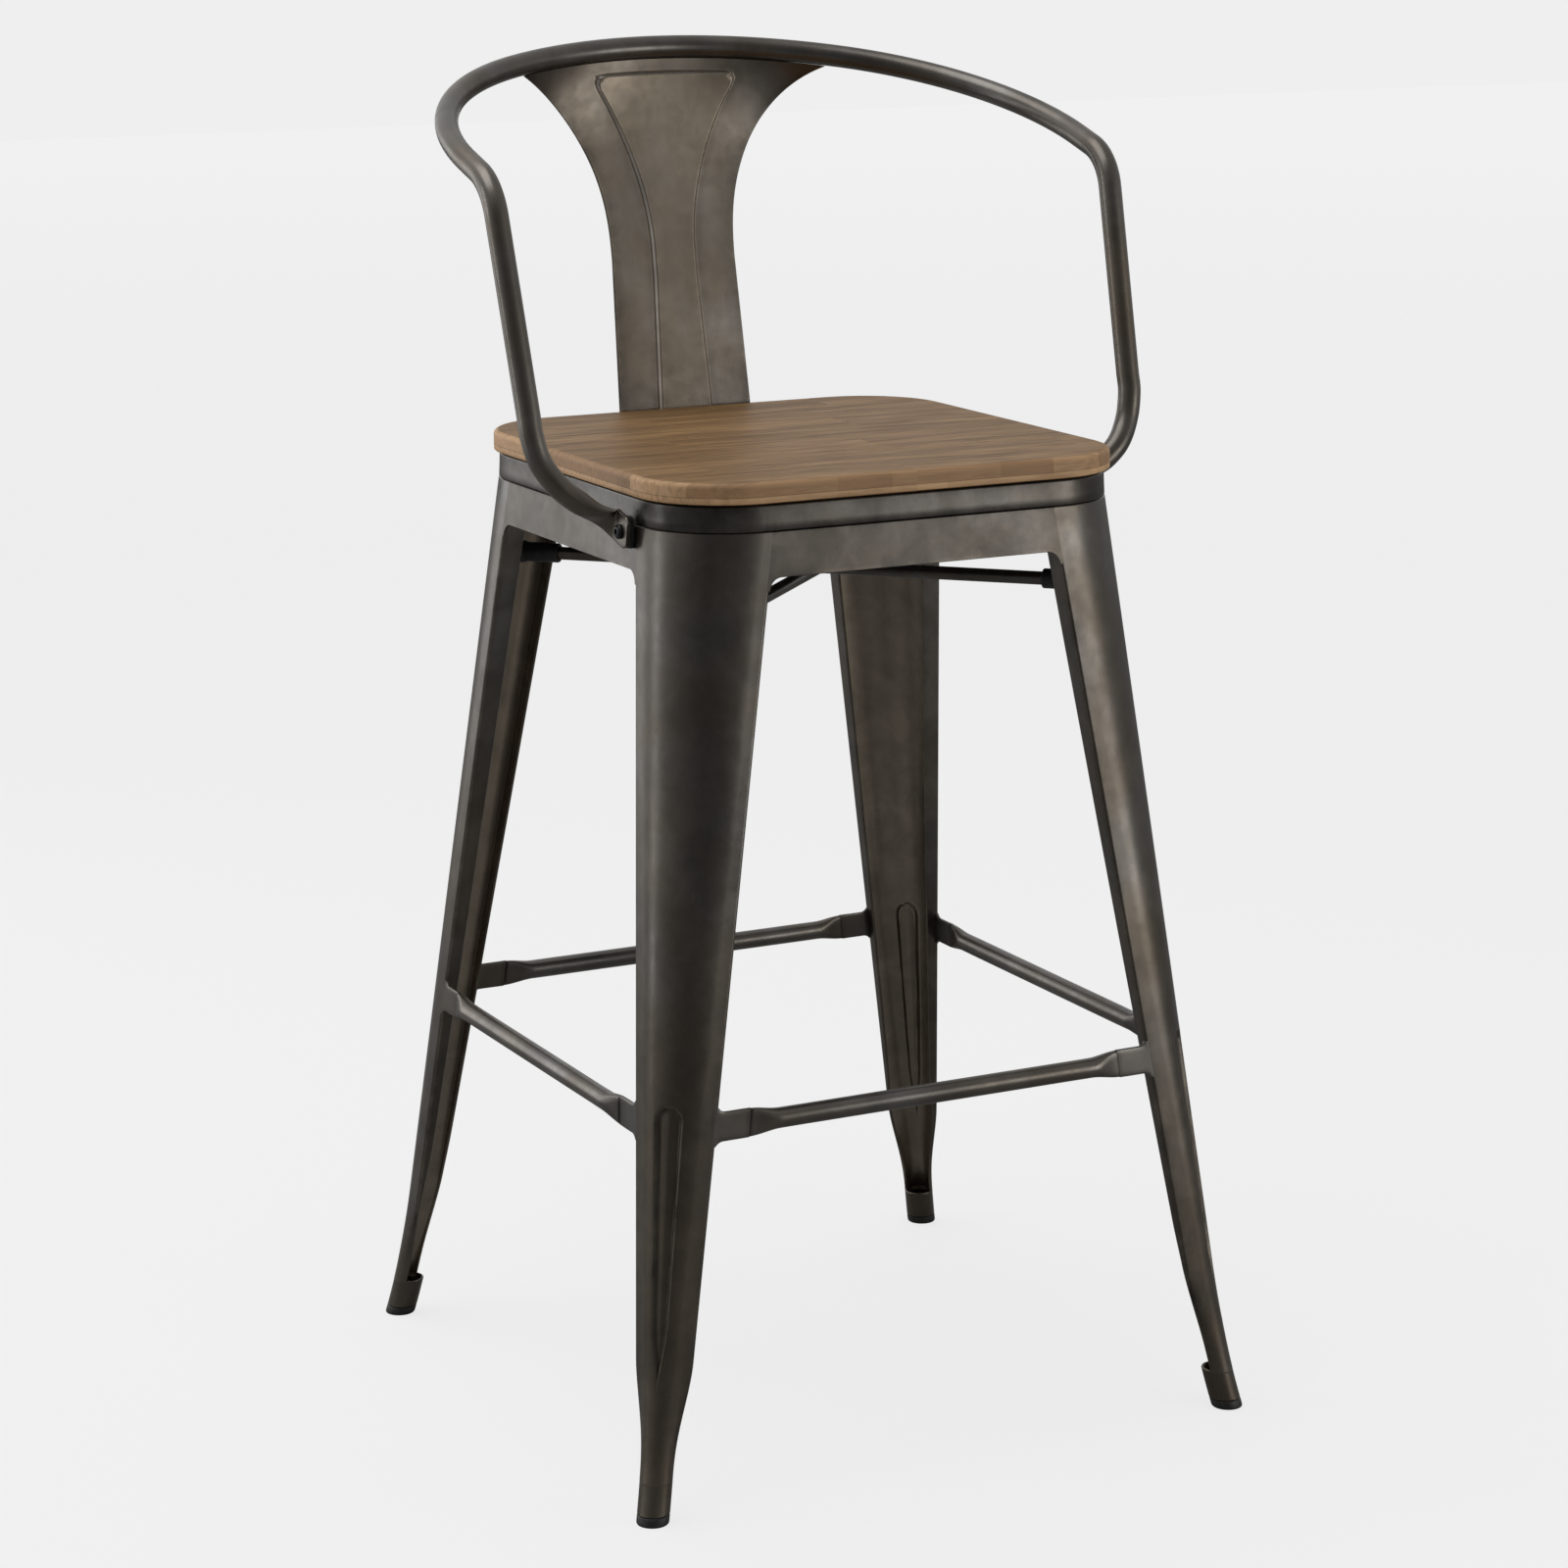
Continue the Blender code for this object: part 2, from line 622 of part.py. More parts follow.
def make_hoop():
    path = hoop_path()
    tangents = [(b - a).normalized() for a, b in zip(path, path[1:])]
    tangents = [tangents[0]] + [(a + b).normalized() for a, b in zip(tangents, tangents[1:])]
    tangents.append(Vector((-1, 0, 0)))
    thin = Vector((1, 0, 0))
    rings, gone = [], 0
    for i, (place, along) in enumerate(zip(path, tangents)):
        if i:
            gone += (place - path[i - 1]).length
            thin = tangents[i - 1].rotation_difference(along) @ thin
        tall = thin.cross(along)
        share = 1 - blend(LUG_LENGTH, LUG_LENGTH + LUG_TAPER, gone)
        nose = 1 - 0.22 * (1 - min(gone / 0.006, 1)) ** 2
        rings.append(flat_ring(place, thin, tall, HOOP_TUBE / 2, LUG_THICK, LUG_HEIGHT * nose, share))
    bm = bmesh.new()
    rows = loft(bm, rings)
    bm.faces.new(rows[0])
    for vert in rows[-1]:
        vert.co.x = 0
    mesh = mesh_from(bm, "back_hoop")
    hoop = add_object("back_hoop", mesh, STEEL)
    mirror = hoop.modifiers.new("other_side", "MIRROR")
    mirror.merge_threshold = 0.0001
    return hoop


# ---- splat


def splat_depth(z):
    """The splat's middle surface behind the stool's centre, on the centre plane."""
    sheet = FIT + SPLAT_SHEET / 2
    if z <= SEAM:
        return leg_half(z) + sheet
    clear_of_wood = SEAT_HALF + RIDGE_HEIGHT + sheet
    if z <= WOOD_BOTTOM - SPLAT_SHEET:
        share = (z - SEAM) / (WOOD_BOTTOM - SPLAT_SHEET - SEAM)
        return leg_half(SEAM) + sheet + (clear_of_wood - leg_half(SEAM) - sheet) * share
    rise = max(z - SEAT_HEIGHT, 0)
    # the straight slope and the curl above it together bring the upper edge under the hoop
    straight = SPLAT_WAIST_RISE + 0.015
    curl = SPLAT_STRAIGHTEN * max(rise - straight, 0) ** 2
    whole_curl = SPLAT_STRAIGHTEN * (SPLAT_HANG - straight) ** 2
    return clear_of_wood + (BACK_REACH - clear_of_wood + whole_curl) * rise / SPLAT_HANG - curl


def splat_half(z, waist, top):
    """Half the width of the splat, or of its ridge, at a height on the centre line."""
    above = z - (SEAT_HEIGHT + SPLAT_WAIST_RISE)
    if above < 0:
        return waist / 2 - above * SPLAT_TAPER / 2
    reach = BACK_HEIGHT - HOOP_TUBE / 2 - SPLAT_WAIST_RISE
    return waist / 2 + (top - waist) / 2 * (above / reach) ** SPLAT_FLARE


def make_splat():
    """A pressed sheet with a raised ridge, hung under the bow and bolted behind the pan."""
    low = SEAT_HEIGHT - SPLAT_TAIL
    high = SEAT_HEIGHT + SPLAT_HANG
    wrap_from = SEAT_HEIGHT + SPLAT_WRAP_RISE
    levels = [low, SEAM, WOOD_BOTTOM - SPLAT_SHEET, SEAT_HEIGHT]
    levels += [SEAT_HEIGHT + (high - SEAT_HEIGHT) * (i / 11) ** 0.85 for i in range(1, 12)]
    ridge_top = high - 0.012
    rings = []
    for z in sorted(levels + [ridge_top, ridge_top - RIDGE_SLOPE]):
        side = splat_half(z, SPLAT_WAIST, SPLAT_TOP)
        ridge = min(splat_half(z, RIDGE_WAIST, RIDGE_TOP * 1.2), RIDGE_TOP / 2)
        raised = RIDGE_HEIGHT * (SEAM < z < ridge_top - RIDGE_SLOPE / 2)
        foot = ridge + RIDGE_SLOPE
        half_row = [(0, raised), (ridge * 0.6, raised), (ridge, raised)]
        half_row += [(foot, 0), ((foot + side) / 2, 0), (side, 0)]
        row = [(-x, up) for x, up in reversed(half_row[1:])] + half_row
        wrap = max((z - wrap_from) / (high - wrap_from), 0)
        points = []
        for x, up in row:
            sag = bow_sag(x)
            y = splat_depth(z) - wrap**1.5 * sag * cos(BOW_TILT) - up
            points.append(Vector((x, y, z - wrap**2 * sag * sin(BOW_TILT))))
        rings.append(points)
    bm = bmesh.new()
    loft(bm, rings, closed=False)
    splat = add_object("back_splat", mesh_from(bm, "back_splat"), STEEL)
    wall = splat.modifiers.new("sheet", "SOLIDIFY")
    wall.thickness = SPLAT_SHEET
    wall.offset = 0
    return splat


# ---- fasteners


def level_ring(radius, height, sides):
    turns = [2 * pi * i / sides for i in range(sides)]
    return [Vector((radius * cos(a), radius * sin(a), height)) for a in turns]


def make_bolt(name, seat_point, inward, grip):
    """A button-head bolt with a hex socket. Its head sits on seat_point and its shank goes inward."""
    inward = Vector(inward)
    bm = bmesh.new()
    length = grip + NUT_THICK + BOLT_TAIL
    levels = (
        (BOLT_SOCKET / 2, 0.0012),
        (BOLT_SOCKET / 2, BOLT_HEAD_HEIGHT),
        (BOLT_HEAD * 0.32, BOLT_HEAD_HEIGHT),
        (BOLT_HEAD * 0.44, BOLT_HEAD_HEIGHT * 0.7),
        (BOLT_HEAD / 2, BOLT_HEAD_HEIGHT * 0.25),
        (BOLT_HEAD / 2, 0),
        (BOLT_SHANK / 2, 0),
        (BOLT_SHANK / 2, -length),
    )
    rings = [level_ring(radius, height, 12) for radius, height in levels]
    rows = loft(bm, rings)
    bm.faces.new(rows[0])
    bm.faces.new(rows[-1])
    bolt = add_object(name, mesh_from(bm, name), BLACK_STEEL)
    turn = Vector((0, 0, -1)).rotation_difference(inward).to_matrix().to_4x4()
    bolt.matrix_world = Matrix.Translation(Vector(seat_point) - inward * FIT) @ turn
    return bolt


def make_nut(name, face_point, inward):
    """A hex nut whose outer face bears on face_point. Its bore clears the shank."""
    inward = Vector(inward)
    outer = NUT_WIDTH / sqrt(3)
    # the bore has the nut's six sides too, and the flats between its corners clear the shank
    bore = (BOLT_SHANK / 2 + FIT) / cos(pi / 6)
    path = ((outer, 0), (outer, NUT_THICK), (bore, NUT_THICK), (bore, 0), (outer, 0))
    bm = bmesh.new()
    loft(bm, [level_ring(radius, depth, 6) for radius, depth in path])
    bmesh.ops.remove_doubles(bm, verts=bm.verts, dist=1e-6)
    nut = add_object(name, mesh_from(bm, name), BLACK_STEEL)
    turn = Vector((0, 0, 1)).rotation_difference(inward).to_matrix().to_4x4()
    nut.matrix_world = Matrix.Translation(Vector(face_point) + inward * FIT) @ turn
    return nut


def make_pad(name, x):
    """A thin black spacer with round corners, between the lug and the apron."""
    length = LUG_LENGTH - PAD_SHORT + PAD_MARGIN
    size = Matrix.Diagonal((PAD_THICK, length, LUG_HEIGHT - 2 * PAD_MARGIN, 1))
    bm = bmesh.new()
    bmesh.ops.create_cube(bm, size=1, matrix=size)
    across = [e for e in bm.edges if abs(e.verts[0].co.x - e.verts[1].co.x) > PAD_THICK / 2]
    bmesh.ops.bevel(bm, geom=across, offset=0.006, segments=3, profile=0.5, affect="EDGES")
    pad = add_object(name, mesh_from(bm, name), PLASTIC)
    pad.location = (x, LUG_FRONT - PAD_MARGIN + length / 2, LUG_Z)
    return pad


def make_screw(name, x, y):
    """A pan-head screw up through the pan into the wood."""
    bm = bmesh.new()
    levels = (
        (SCREW_HEAD * 0.3, -SCREW_HEAD_HEIGHT),
        (SCREW_HEAD * 0.45, -SCREW_HEAD_HEIGHT * 0.7),
        (SCREW_HEAD / 2, -SCREW_HEAD_HEIGHT * 0.3),
        (SCREW_HEAD / 2, 0),
        (SCREW_SHANK / 2, 0),
        (SCREW_SHANK / 2, SCREW_LENGTH - 0.002),
        (SCREW_SHANK / 5, SCREW_LENGTH),
    )
    rings = [level_ring(radius, height, 10) for radius, height in levels]
    rows = loft(bm, rings)
    bm.faces.new(rows[0])
    bm.faces.new(rows[-1])
    screw = add_object(name, mesh_from(bm, name), BLACK_STEEL)
    screw.location = (x, y, PAN_TOP - PAN_SHEET - FIT)
    return screw


# ---- build

wood = make_wood()
pan = make_pan()
LIP_CUTTER = make_lip_cutter()
for corner, (sx, sy) in CORNERS.items():
    make_leg("leg_" + corner, sx, sy)
    make_glide("foot_glide_" + corner, sx, sy)

SIDES = {"front": 0, "right": pi / 2, "rear": pi, "left": -pi / 2}
aprons = {side: make_apron("apron_" + side, turn) for side, turn in SIDES.items()}
for side, turn in SIDES.items():
    make_rung("rung_" + side, turn)

# cross braces: one rod over the other, each with a sleeve near either leg
rod_step = (BRACE_ROD + BRACE_CROSS_GAP) / 2
for name, sign in (("brace_upper", -1), ("brace_lower", 1)):
    z = SEAT_HEIGHT - BRACE_DROP - sign * rod_step
    corner = leg_corner(z) - SHEET
    # the rod's flat end stays clear of the leg's leaning, hollow corner
    lean_gap = BRACE_ROD / 2 * (LEG_SLOPE * sqrt(2) + BRACE_ROD / 4 / corner)
    reach = sqrt(2) * (leg_half(z) - SHEET - corner) + corner - 2 * FIT - lean_gap
    along = Vector((1, sign, 0)).normalized()
    cylinder(name, BRACE_ROD / 2, 2 * reach, (0, 0, z), along, STEEL, sides=12)
    for end, side in (("right", 1), ("left", -1)):
        centre = along * side * (reach - SLEEVE_SETBACK - SLEEVE_LENGTH / 2) + Vector((0, 0, z))
        title = name + "_sleeve_" + end
        sleeve = cylinder(title, SLEEVE_DIAMETER / 2, SLEEVE_LENGTH, centre, along, PLASTIC, sides=14)
        bore = cutter(title + "_bore", BRACE_ROD / 2 + FIT, SLEEVE_LENGTH * 1.5, centre, along)
        cut(sleeve, bore)

hoop = make_hoop()
splat = make_splat()
hole = BOLT_SHANK / 2 + HOLE_PLAY

# hoop bolts: lug, pad, apron and the pan's tongue, with a nut inside
bolt_y = LUG_FRONT + LUG_BOLT_BACK
lug_face = lug_centre() + LUG_THICK / 2
nut_face = LAP_HALF - PAN_SHEET
for side, sign in (("left", -1), ("right", 1)):
    inward = (-sign, 0, 0)
    drill = cutter("lug_drill_" + side, hole, 0.060, (sign * (LAP_HALF + 0.01), bolt_y, LUG_Z), inward)
    pad = make_pad("hoop_pad_" + side, sign * (lug_centre() - LUG_THICK / 2 - FIT - PAD_THICK / 2))
    cut(hoop, drill)
    cut(pad, drill)
    cut(aprons[side], drill)
    cut(pan, drill)
    make_bolt("hoop_bolt_" + side, (sign * lug_face, bolt_y, LUG_Z), inward, lug_face - nut_face)
    make_nut("hoop_nut_" + side, (sign * nut_face, bolt_y, LUG_Z), inward)

# splat bolts: tail, rear apron and the pan's tongue, with a nut inside
# the tail leans with the apron, so the head clears it at its lower rim
tail_face = splat_depth(SPLAT_BOLT_Z - BOLT_HEAD / 2) + SPLAT_SHEET / 2
for side, sign in (("left", -1), ("right", 1)):
    x = sign * SPLAT_BOLT_SPACING / 2
    drill = cutter("splat_drill_" + side, hole, 0.060, (x, LAP_HALF + 0.01, SPLAT_BOLT_Z), (0, -1, 0))
    cut(splat, drill)
    cut(aprons["rear"], drill)
    cut(pan, drill)
    make_bolt("splat_bolt_" + side, (x, tail_face, SPLAT_BOLT_Z), (0, -1, 0), tail_face - nut_face)
    make_nut("splat_nut_" + side, (x, nut_face, SPLAT_BOLT_Z), (0, -1, 0))

# seat screws
for corner, (sx, sy) in CORNERS.items():
    x, y = sx * SCREW_SPREAD / 2, sy * SCREW_SPREAD / 2
    depth = SCREW_LENGTH + 2 * FIT
    centre = (x, y, PAN_TOP - PAN_SHEET * 1.5 + depth / 2)
    pilot = cutter("pilot_" + corner, SCREW_SHANK / 2 + FIT, depth, centre, (0, 0, 1))
    cut(wood, pilot)
    cut(pan, pilot)
    make_screw("seat_screw_" + corner, x, y)

bpy.context.view_layer.update()
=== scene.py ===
# %% [markdown]
# # A bar stool with a footrest, step by step
#
# The stool is a wooden seat on a pressed steel pan. Four folded sheet legs splay out under
# it, tied by aprons, cross braces and footrest rungs. A bent tube makes the arms and back,
# with a pressed sheet splat below it.
#
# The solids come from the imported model, so the first thing is to load them. Every piece made
# here takes its place from those solids, and stands for the ones it is finer than.

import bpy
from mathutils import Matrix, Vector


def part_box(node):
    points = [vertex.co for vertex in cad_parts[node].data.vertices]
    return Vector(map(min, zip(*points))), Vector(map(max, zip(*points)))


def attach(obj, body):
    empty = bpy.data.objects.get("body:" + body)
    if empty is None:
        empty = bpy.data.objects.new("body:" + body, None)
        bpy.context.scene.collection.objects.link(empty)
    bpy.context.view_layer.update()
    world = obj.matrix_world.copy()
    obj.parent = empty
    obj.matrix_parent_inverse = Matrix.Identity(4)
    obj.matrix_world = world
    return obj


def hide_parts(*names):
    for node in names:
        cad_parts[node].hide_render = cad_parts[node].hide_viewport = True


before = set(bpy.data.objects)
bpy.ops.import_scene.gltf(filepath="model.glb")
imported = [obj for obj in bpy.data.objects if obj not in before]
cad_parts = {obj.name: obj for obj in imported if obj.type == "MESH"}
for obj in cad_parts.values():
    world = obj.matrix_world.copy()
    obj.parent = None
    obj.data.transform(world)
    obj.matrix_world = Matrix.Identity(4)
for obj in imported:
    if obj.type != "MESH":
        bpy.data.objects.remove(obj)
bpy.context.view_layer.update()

# %% The other modules
from math import asin, cos, pi, radians, sin, sqrt, tan

import bpy
import numpy as np
from mathutils import Matrix, Vector

# %% [markdown]
# ## The sizes that the pieces share
#
# A few heights are read from the solids' boxes. The leg's lines, the hoop's radii and the
# sheet's thickness are the ones that the solids were drawn with.

# %% Heights and widths
SEAT_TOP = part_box("wood_seat")[1].z
SEAT_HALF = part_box("wood_seat")[1].x
WOOD_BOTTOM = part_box("wood_seat")[0].z
PAN_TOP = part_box("seat_pan")[1].z
SEAM_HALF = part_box("seat_pan")[1].x
SEAM = PAN_TOP - 0.020
APRON_BOTTOM = SEAM - 0.0337
RUNG_Z = 0.292
SHEET = 0.002
print(f"seat top {SEAT_TOP:.4f}, pan top {PAN_TOP:.4f}, seam {SEAM:.4f}, half {SEAM_HALF:.4f}")

# %% [markdown]
# ## From arrays to meshes
#
# Nearly every piece is a grid of points: rows one way, columns the other. Blender wants a
# list of points and a list of faces, and both come from whole arrays at once. Three kinds of
# closed body do most of the work: a loft of rings, a sheet with two faces and a rim, and a
# turned shape, which is a loft of circles.

# %% Faces of a grid
def grid_quads(rows, cols, around=False):
    """Face k joins point (r, c) to (r, c+1), (r+1, c+1) and (r+1, c). `around` joins the last column
    to the first."""
    r = np.arange(rows - 1)[:, None]
    c = np.arange(cols if around else cols - 1)[None, :]
    a, b = r * cols + c, r * cols + (c + 1) % cols
    return np.stack([a, b, b + cols, a + cols], -1).reshape(-1, 4)


def unit(vectors):
    """Each vector divided by its own length."""
    return vectors / np.maximum(np.linalg.norm(vectors, axis=-1, keepdims=True), 1e-12)


def ease(low, high, value):
    """0 at low, 1 at high, and between them 3t^2 - 2t^3, which starts and ends level."""
    t = np.clip((value - low) / (high - low), 0, 1)
    return t * t * (3 - 2 * t)


# %% A closed mesh that faces outwards
def closed_mesh(name, points, quads, triangles=(), crease=38):
    """Makes a mesh object. Six times the enclosed volume is the sum, over the triangles, of a . (b x
    c). When it is negative the faces point in, so all are turned round."""
    points, quads = np.asarray(points, float), np.asarray(quads, int)
    triangles = np.asarray(triangles, int).reshape(-1, 3)
    every = np.concatenate([quads[:, [0, 1, 2]], quads[:, [0, 2, 3]], triangles])
    a, b, c = np.moveaxis(points[every] - points.mean(0), 1, 0)
    if np.einsum("ij,ij->", a, np.cross(b, c)) < 0:
        quads, triangles = quads[:, ::-1], triangles[:, ::-1]
    mesh = bpy.data.meshes.new(name)
    mesh.from_pydata(points.tolist(), [], quads.tolist() + triangles.tolist())
    mesh.shade_smooth()
    mesh.set_sharp_from_angle(angle=radians(crease))
    piece = bpy.data.objects.new(name, mesh)
    bpy.context.scene.collection.objects.link(piece)
    return piece


# %% A loft of rings
def ring_body(name, rings, crease=38):
    """Rings of equally many points, joined one to the next. A fan of triangles from its centre
    closes each end."""
    rows, cols = rings.shape[:2]
    points = np.concatenate([rings.reshape(-1, 3), rings[:1].mean(1), rings[-1:].mean(1)])
    i = np.arange(cols)
    j, last = (i + 1) % cols, (rows - 1) * cols
    first_fan = np.stack([j, i, np.full(cols, rows * cols)], -1)
    last_fan = np.stack([last + i, last + j, np.full(cols, rows * cols + 1)], -1)
    fans = np.concatenate([first_fan, last_fan])
    return closed_mesh(name, points, grid_quads(rows, cols, around=True), fans, crease)


# %% A sheet with two faces
def sheet_body(name, outer, inner, bulge=0.35, crease=38):
    """Both faces of a sheet, and a rim between their borders. The rim's middle line stands out by
    `bulge` of the thickness, so that the cut edge is rounded."""
    rows, cols = outer.shape[:2]
    zero, top = np.zeros(cols - 1, int), np.full(cols - 1, rows - 1)
    left, right = np.zeros(rows - 1, int), np.full(rows - 1, cols - 1)
    r = np.concatenate([zero, np.arange(rows - 1), top, np.arange(rows - 1, 0, -1)])
    c = np.concatenate([np.arange(cols - 1), right, np.arange(cols - 1, 0, -1), left])
    middle = (outer + inner) / 2
    away = unit(middle[r, c] - middle[np.clip(r, 1, rows - 2), np.clip(c, 1, cols - 2)])
    thickness = np.linalg.norm(outer[r, c] - inner[r, c], axis=-1, keepdims=True)
    rim = middle[r, c] + away * thickness * bulge
    count = rows * cols
    points = np.concatenate([outer.reshape(-1, 3), inner.reshape(-1, 3), rim])
    face = grid_quads(rows, cols)
    a, m = r * cols + c, 2 * count + np.arange(len(r))
    b, n = np.roll(a, -1), np.roll(m, -1)
    strips = [np.stack([b, a, m, n], -1), np.stack([n, m, a + count, b + count], -1)]
    quads = np.concatenate([face, face[:, ::-1] + count, *strips])
    return closed_mesh(name, points, quads, crease=crease)


# %% Turned shapes, and where they go
def turned_rings(profile, sides=32, hexagonal=()):
    """A circle for each (radius, height) of the profile. Rings named in `hexagonal` have the radius
    r / cos(a) instead, with a the angle from the middle of the nearest flat."""
    profile = np.asarray(profile, float)
    angle = 2 * pi * np.arange(sides) / sides
    radius = np.repeat(profile[:, :1], sides, 1)
    flat = np.mod(angle, pi / 3) - pi / 6
    radius[list(hexagonal)] /= np.cos(flat)
    z = np.repeat(profile[:, 1:], sides, 1)
    return np.stack([radius * np.cos(angle), radius * np.sin(angle), z], -1)


def aimed(points, centre, axis):
    """The points with their own Z turned to `axis`, then moved to `centre`."""
    turn = np.array(Vector((0, 0, 1)).rotation_difference(Vector(axis)).to_matrix())
    return points @ turn.T + np.asarray(centre, float)


# %% Dress a finished piece
def dress(piece, material, slot, *nodes, **marks):
    """Gives a piece its material, its numbers per point and its body, and hides the solids it
    stands for. `slot` is not used."""
    for mark, values in marks.items():
        stored = piece.data.attributes.new(mark, "FLOAT", "POINT")
        stored.data.foreach_set("value", np.asarray(values, np.float32).ravel())
    piece.data.materials.append(material)
    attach(piece, "root")
    if nodes:
        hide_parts(*nodes)
    return piece


# %% [markdown]
# ## Node helpers
#
# A material is a graph of nodes. These few helpers add a node, feed it and return its output,
# so that each graph below reads like a short recipe.

# %% Add and link nodes
def add(tree, kind, inputs=None, **settings):
    """A node with its settings, and with its inputs linked to sockets or set to values."""
    made = tree.nodes.new(kind)
    for key, value in settings.items():
        setattr(made, key, value)
    for key, value in (inputs or {}).items():
        if isinstance(value, bpy.types.NodeSocket):
            tree.links.new(value, made.inputs[key])
        else:
            made.inputs[key].default_value = value
    return made


def maths(tree, operation, a, b=0.0, clamp=False):
    """One sum on two numbers, each a value or a socket."""
    return add(tree, "ShaderNodeMath", {0: a, 1: b}, operation=operation, use_clamp=clamp).outputs[0]


def remap(tree, value, low, high, to_low=0.0, to_high=1.0):
    """The value's stretch from low to high, moved onto the stretch from to_low to to_high."""
    inputs = {0: value, 1: low, 2: high, 3: to_low, 4: to_high}
    return add(tree, "ShaderNodeMapRange", inputs, clamp=True).outputs[0]


def mixed(tree, share, a, b):
    """Colour a where share is 0, colour b where it is 1."""
    made = add(tree, "ShaderNodeMix", data_type="RGBA")
    for socket, value in zip((made.inputs[0], made.inputs[6], made.inputs[7]), (share, a, b)):
        if isinstance(value, bpy.types.NodeSocket):
            tree.links.new(value, socket)
        else:
            socket.default_value = value if isinstance(value, float) else (*value, 1)
    return made.outputs[2]


def vector_sum(tree, a, b):
    """Two vectors added."""
    return add(tree, "ShaderNodeVectorMath", {0: a, 1: b}, operation="ADD").outputs[0]


def combined(tree, x=0.0, y=0.0, z=0.0):
    """A vector from three numbers, each a value or a socket."""
    return add(tree, "ShaderNodeCombineXYZ", {0: x, 1: y, 2: z}).outputs[0]


def noise(tree, place, scale, detail=4.0, roughness=0.5, lift=0.0):
    """Smooth noise from 0 to 1. `lift` is how much it is distorted."""
    inputs = {"Vector": place, "Scale": scale, "Detail": detail, "Roughness": roughness, "Distortion": lift}
    return add(tree, "ShaderNodeTexNoise", inputs).outputs["Fac"]


def stretched(tree, place, scale, offset=(0, 0, 0)):
    """The coordinates times a scale along each axis."""
    inputs = {"Vector": place, "Scale": scale, "Location": offset}
    return add(tree, "ShaderNodeMapping", inputs).outputs[0]


# %% A group's shell
def new_group(name, takes, gives):
    """A shader node group with float or vector inputs and their first values, and named outputs."""
    group = bpy.data.node_groups.new(name, "ShaderNodeTree")
    for key, value in takes.items():
        kind = "NodeSocketVector" if value is None else "NodeSocketFloat"
        socket = group.interface.new_socket(key, in_out="INPUT", socket_type=kind)
        if value is not None:
            socket.default_value = value
    for key in gives:
        group.interface.new_socket(key, in_out="OUTPUT", socket_type="NodeSocketFloat")
    return group, add(group, "NodeGroupInput").outputs, add(group, "NodeGroupOutput").inputs


def use_group(tree, group, **inputs):
    """The group's outputs, with its inputs set or linked. An underscore stands for a space."""
    made = add(tree, "ShaderNodeGroup", node_tree=group)
    for key, value in inputs.items():
        socket = made.inputs[key.replace("_", " ")]
        if isinstance(value, bpy.types.NodeSocket):
            tree.links.new(value, socket)
        else:
            socket.default_value = value
    return made.outputs


# %% [markdown]
# ## Effects that several finishes share
#
# The steel's lacquer is cloudy, the plastic is finely textured, and everything has a little
# dust and handling on it. Each effect is a group with its own inputs, built once.

# %% Clouds
takes, gives = {"Vector": None, "Size": 9.0, "Seed": 0.0}, ["Broad", "Blotches", "Drift"]
clouds, given, out = new_group("lacquer clouds", takes, gives)
moved = vector_sum(clouds, given["Vector"], given["Seed"])
broad = noise(clouds, moved, given["Size"], 3.0, 0.55, 0.6)
blotch = noise(clouds, moved, maths(clouds, "MULTIPLY", given["Size"], 4.2), 5.0, 0.6, 0.4)
drawn_out, finer = stretched(clouds, moved, (1, 1, 0.22)), maths(clouds, "MULTIPLY", given["Size"], 2.4)
drift = noise(clouds, drawn_out, finer, 3.0, 0.5)
clouds.links.new(remap(clouds, broad, 0.34, 0.66), out["Broad"])
clouds.links.new(remap(clouds, blotch, 0.38, 0.66), out["Blotches"])
clouds.links.new(remap(clouds, drift, 0.36, 0.64), out["Drift"])
print("group:", clouds.name)

# %% Orange peel
peel, given, out = new_group("orange peel", {"Vector": None, "Size": 900.0}, ["Height", "Gloss"])
fine = noise(peel, given["Vector"], given["Size"], 3.0, 0.55)
wide = noise(peel, given["Vector"], maths(peel, "MULTIPLY", given["Size"], 0.16), 2.0, 0.5)
peel.links.new(maths(peel, "ADD", maths(peel, "MULTIPLY", fine, 0.4), wide), out["Height"])
peel.links.new(remap(peel, wide, 0.35, 0.65, -0.5, 0.5), out["Gloss"])
print("group:", peel.name)

# %% Rubs and dust
rubs, given, out = new_group("rubs and dust", {"Vector": None, "Amount": 0.5}, ["Rub", "Dust"])
scratch = noise(rubs, stretched(rubs, given["Vector"], (1, 1, 0.12)), 420.0, 3.0, 0.7)
speck = noise(rubs, given["Vector"], 1500.0, 2.0, 0.8)
patch = noise(rubs, given["Vector"], 26.0, 2.0, 0.5)
paleness = maths(rubs, "MULTIPLY", remap(rubs, scratch, 0.60, 0.72), remap(rubs, patch, 0.48, 0.66))
rubs.links.new(maths(rubs, "MULTIPLY", paleness, given["Amount"]), out["Rub"])
dusty = maths(rubs, "MULTIPLY", remap(rubs, speck, 0.63, 0.74), remap(rubs, patch, 0.40, 0.60))
rubs.links.new(maths(rubs, "MULTIPLY", dusty, given["Amount"]), out["Dust"])
print("group:", rubs.name)
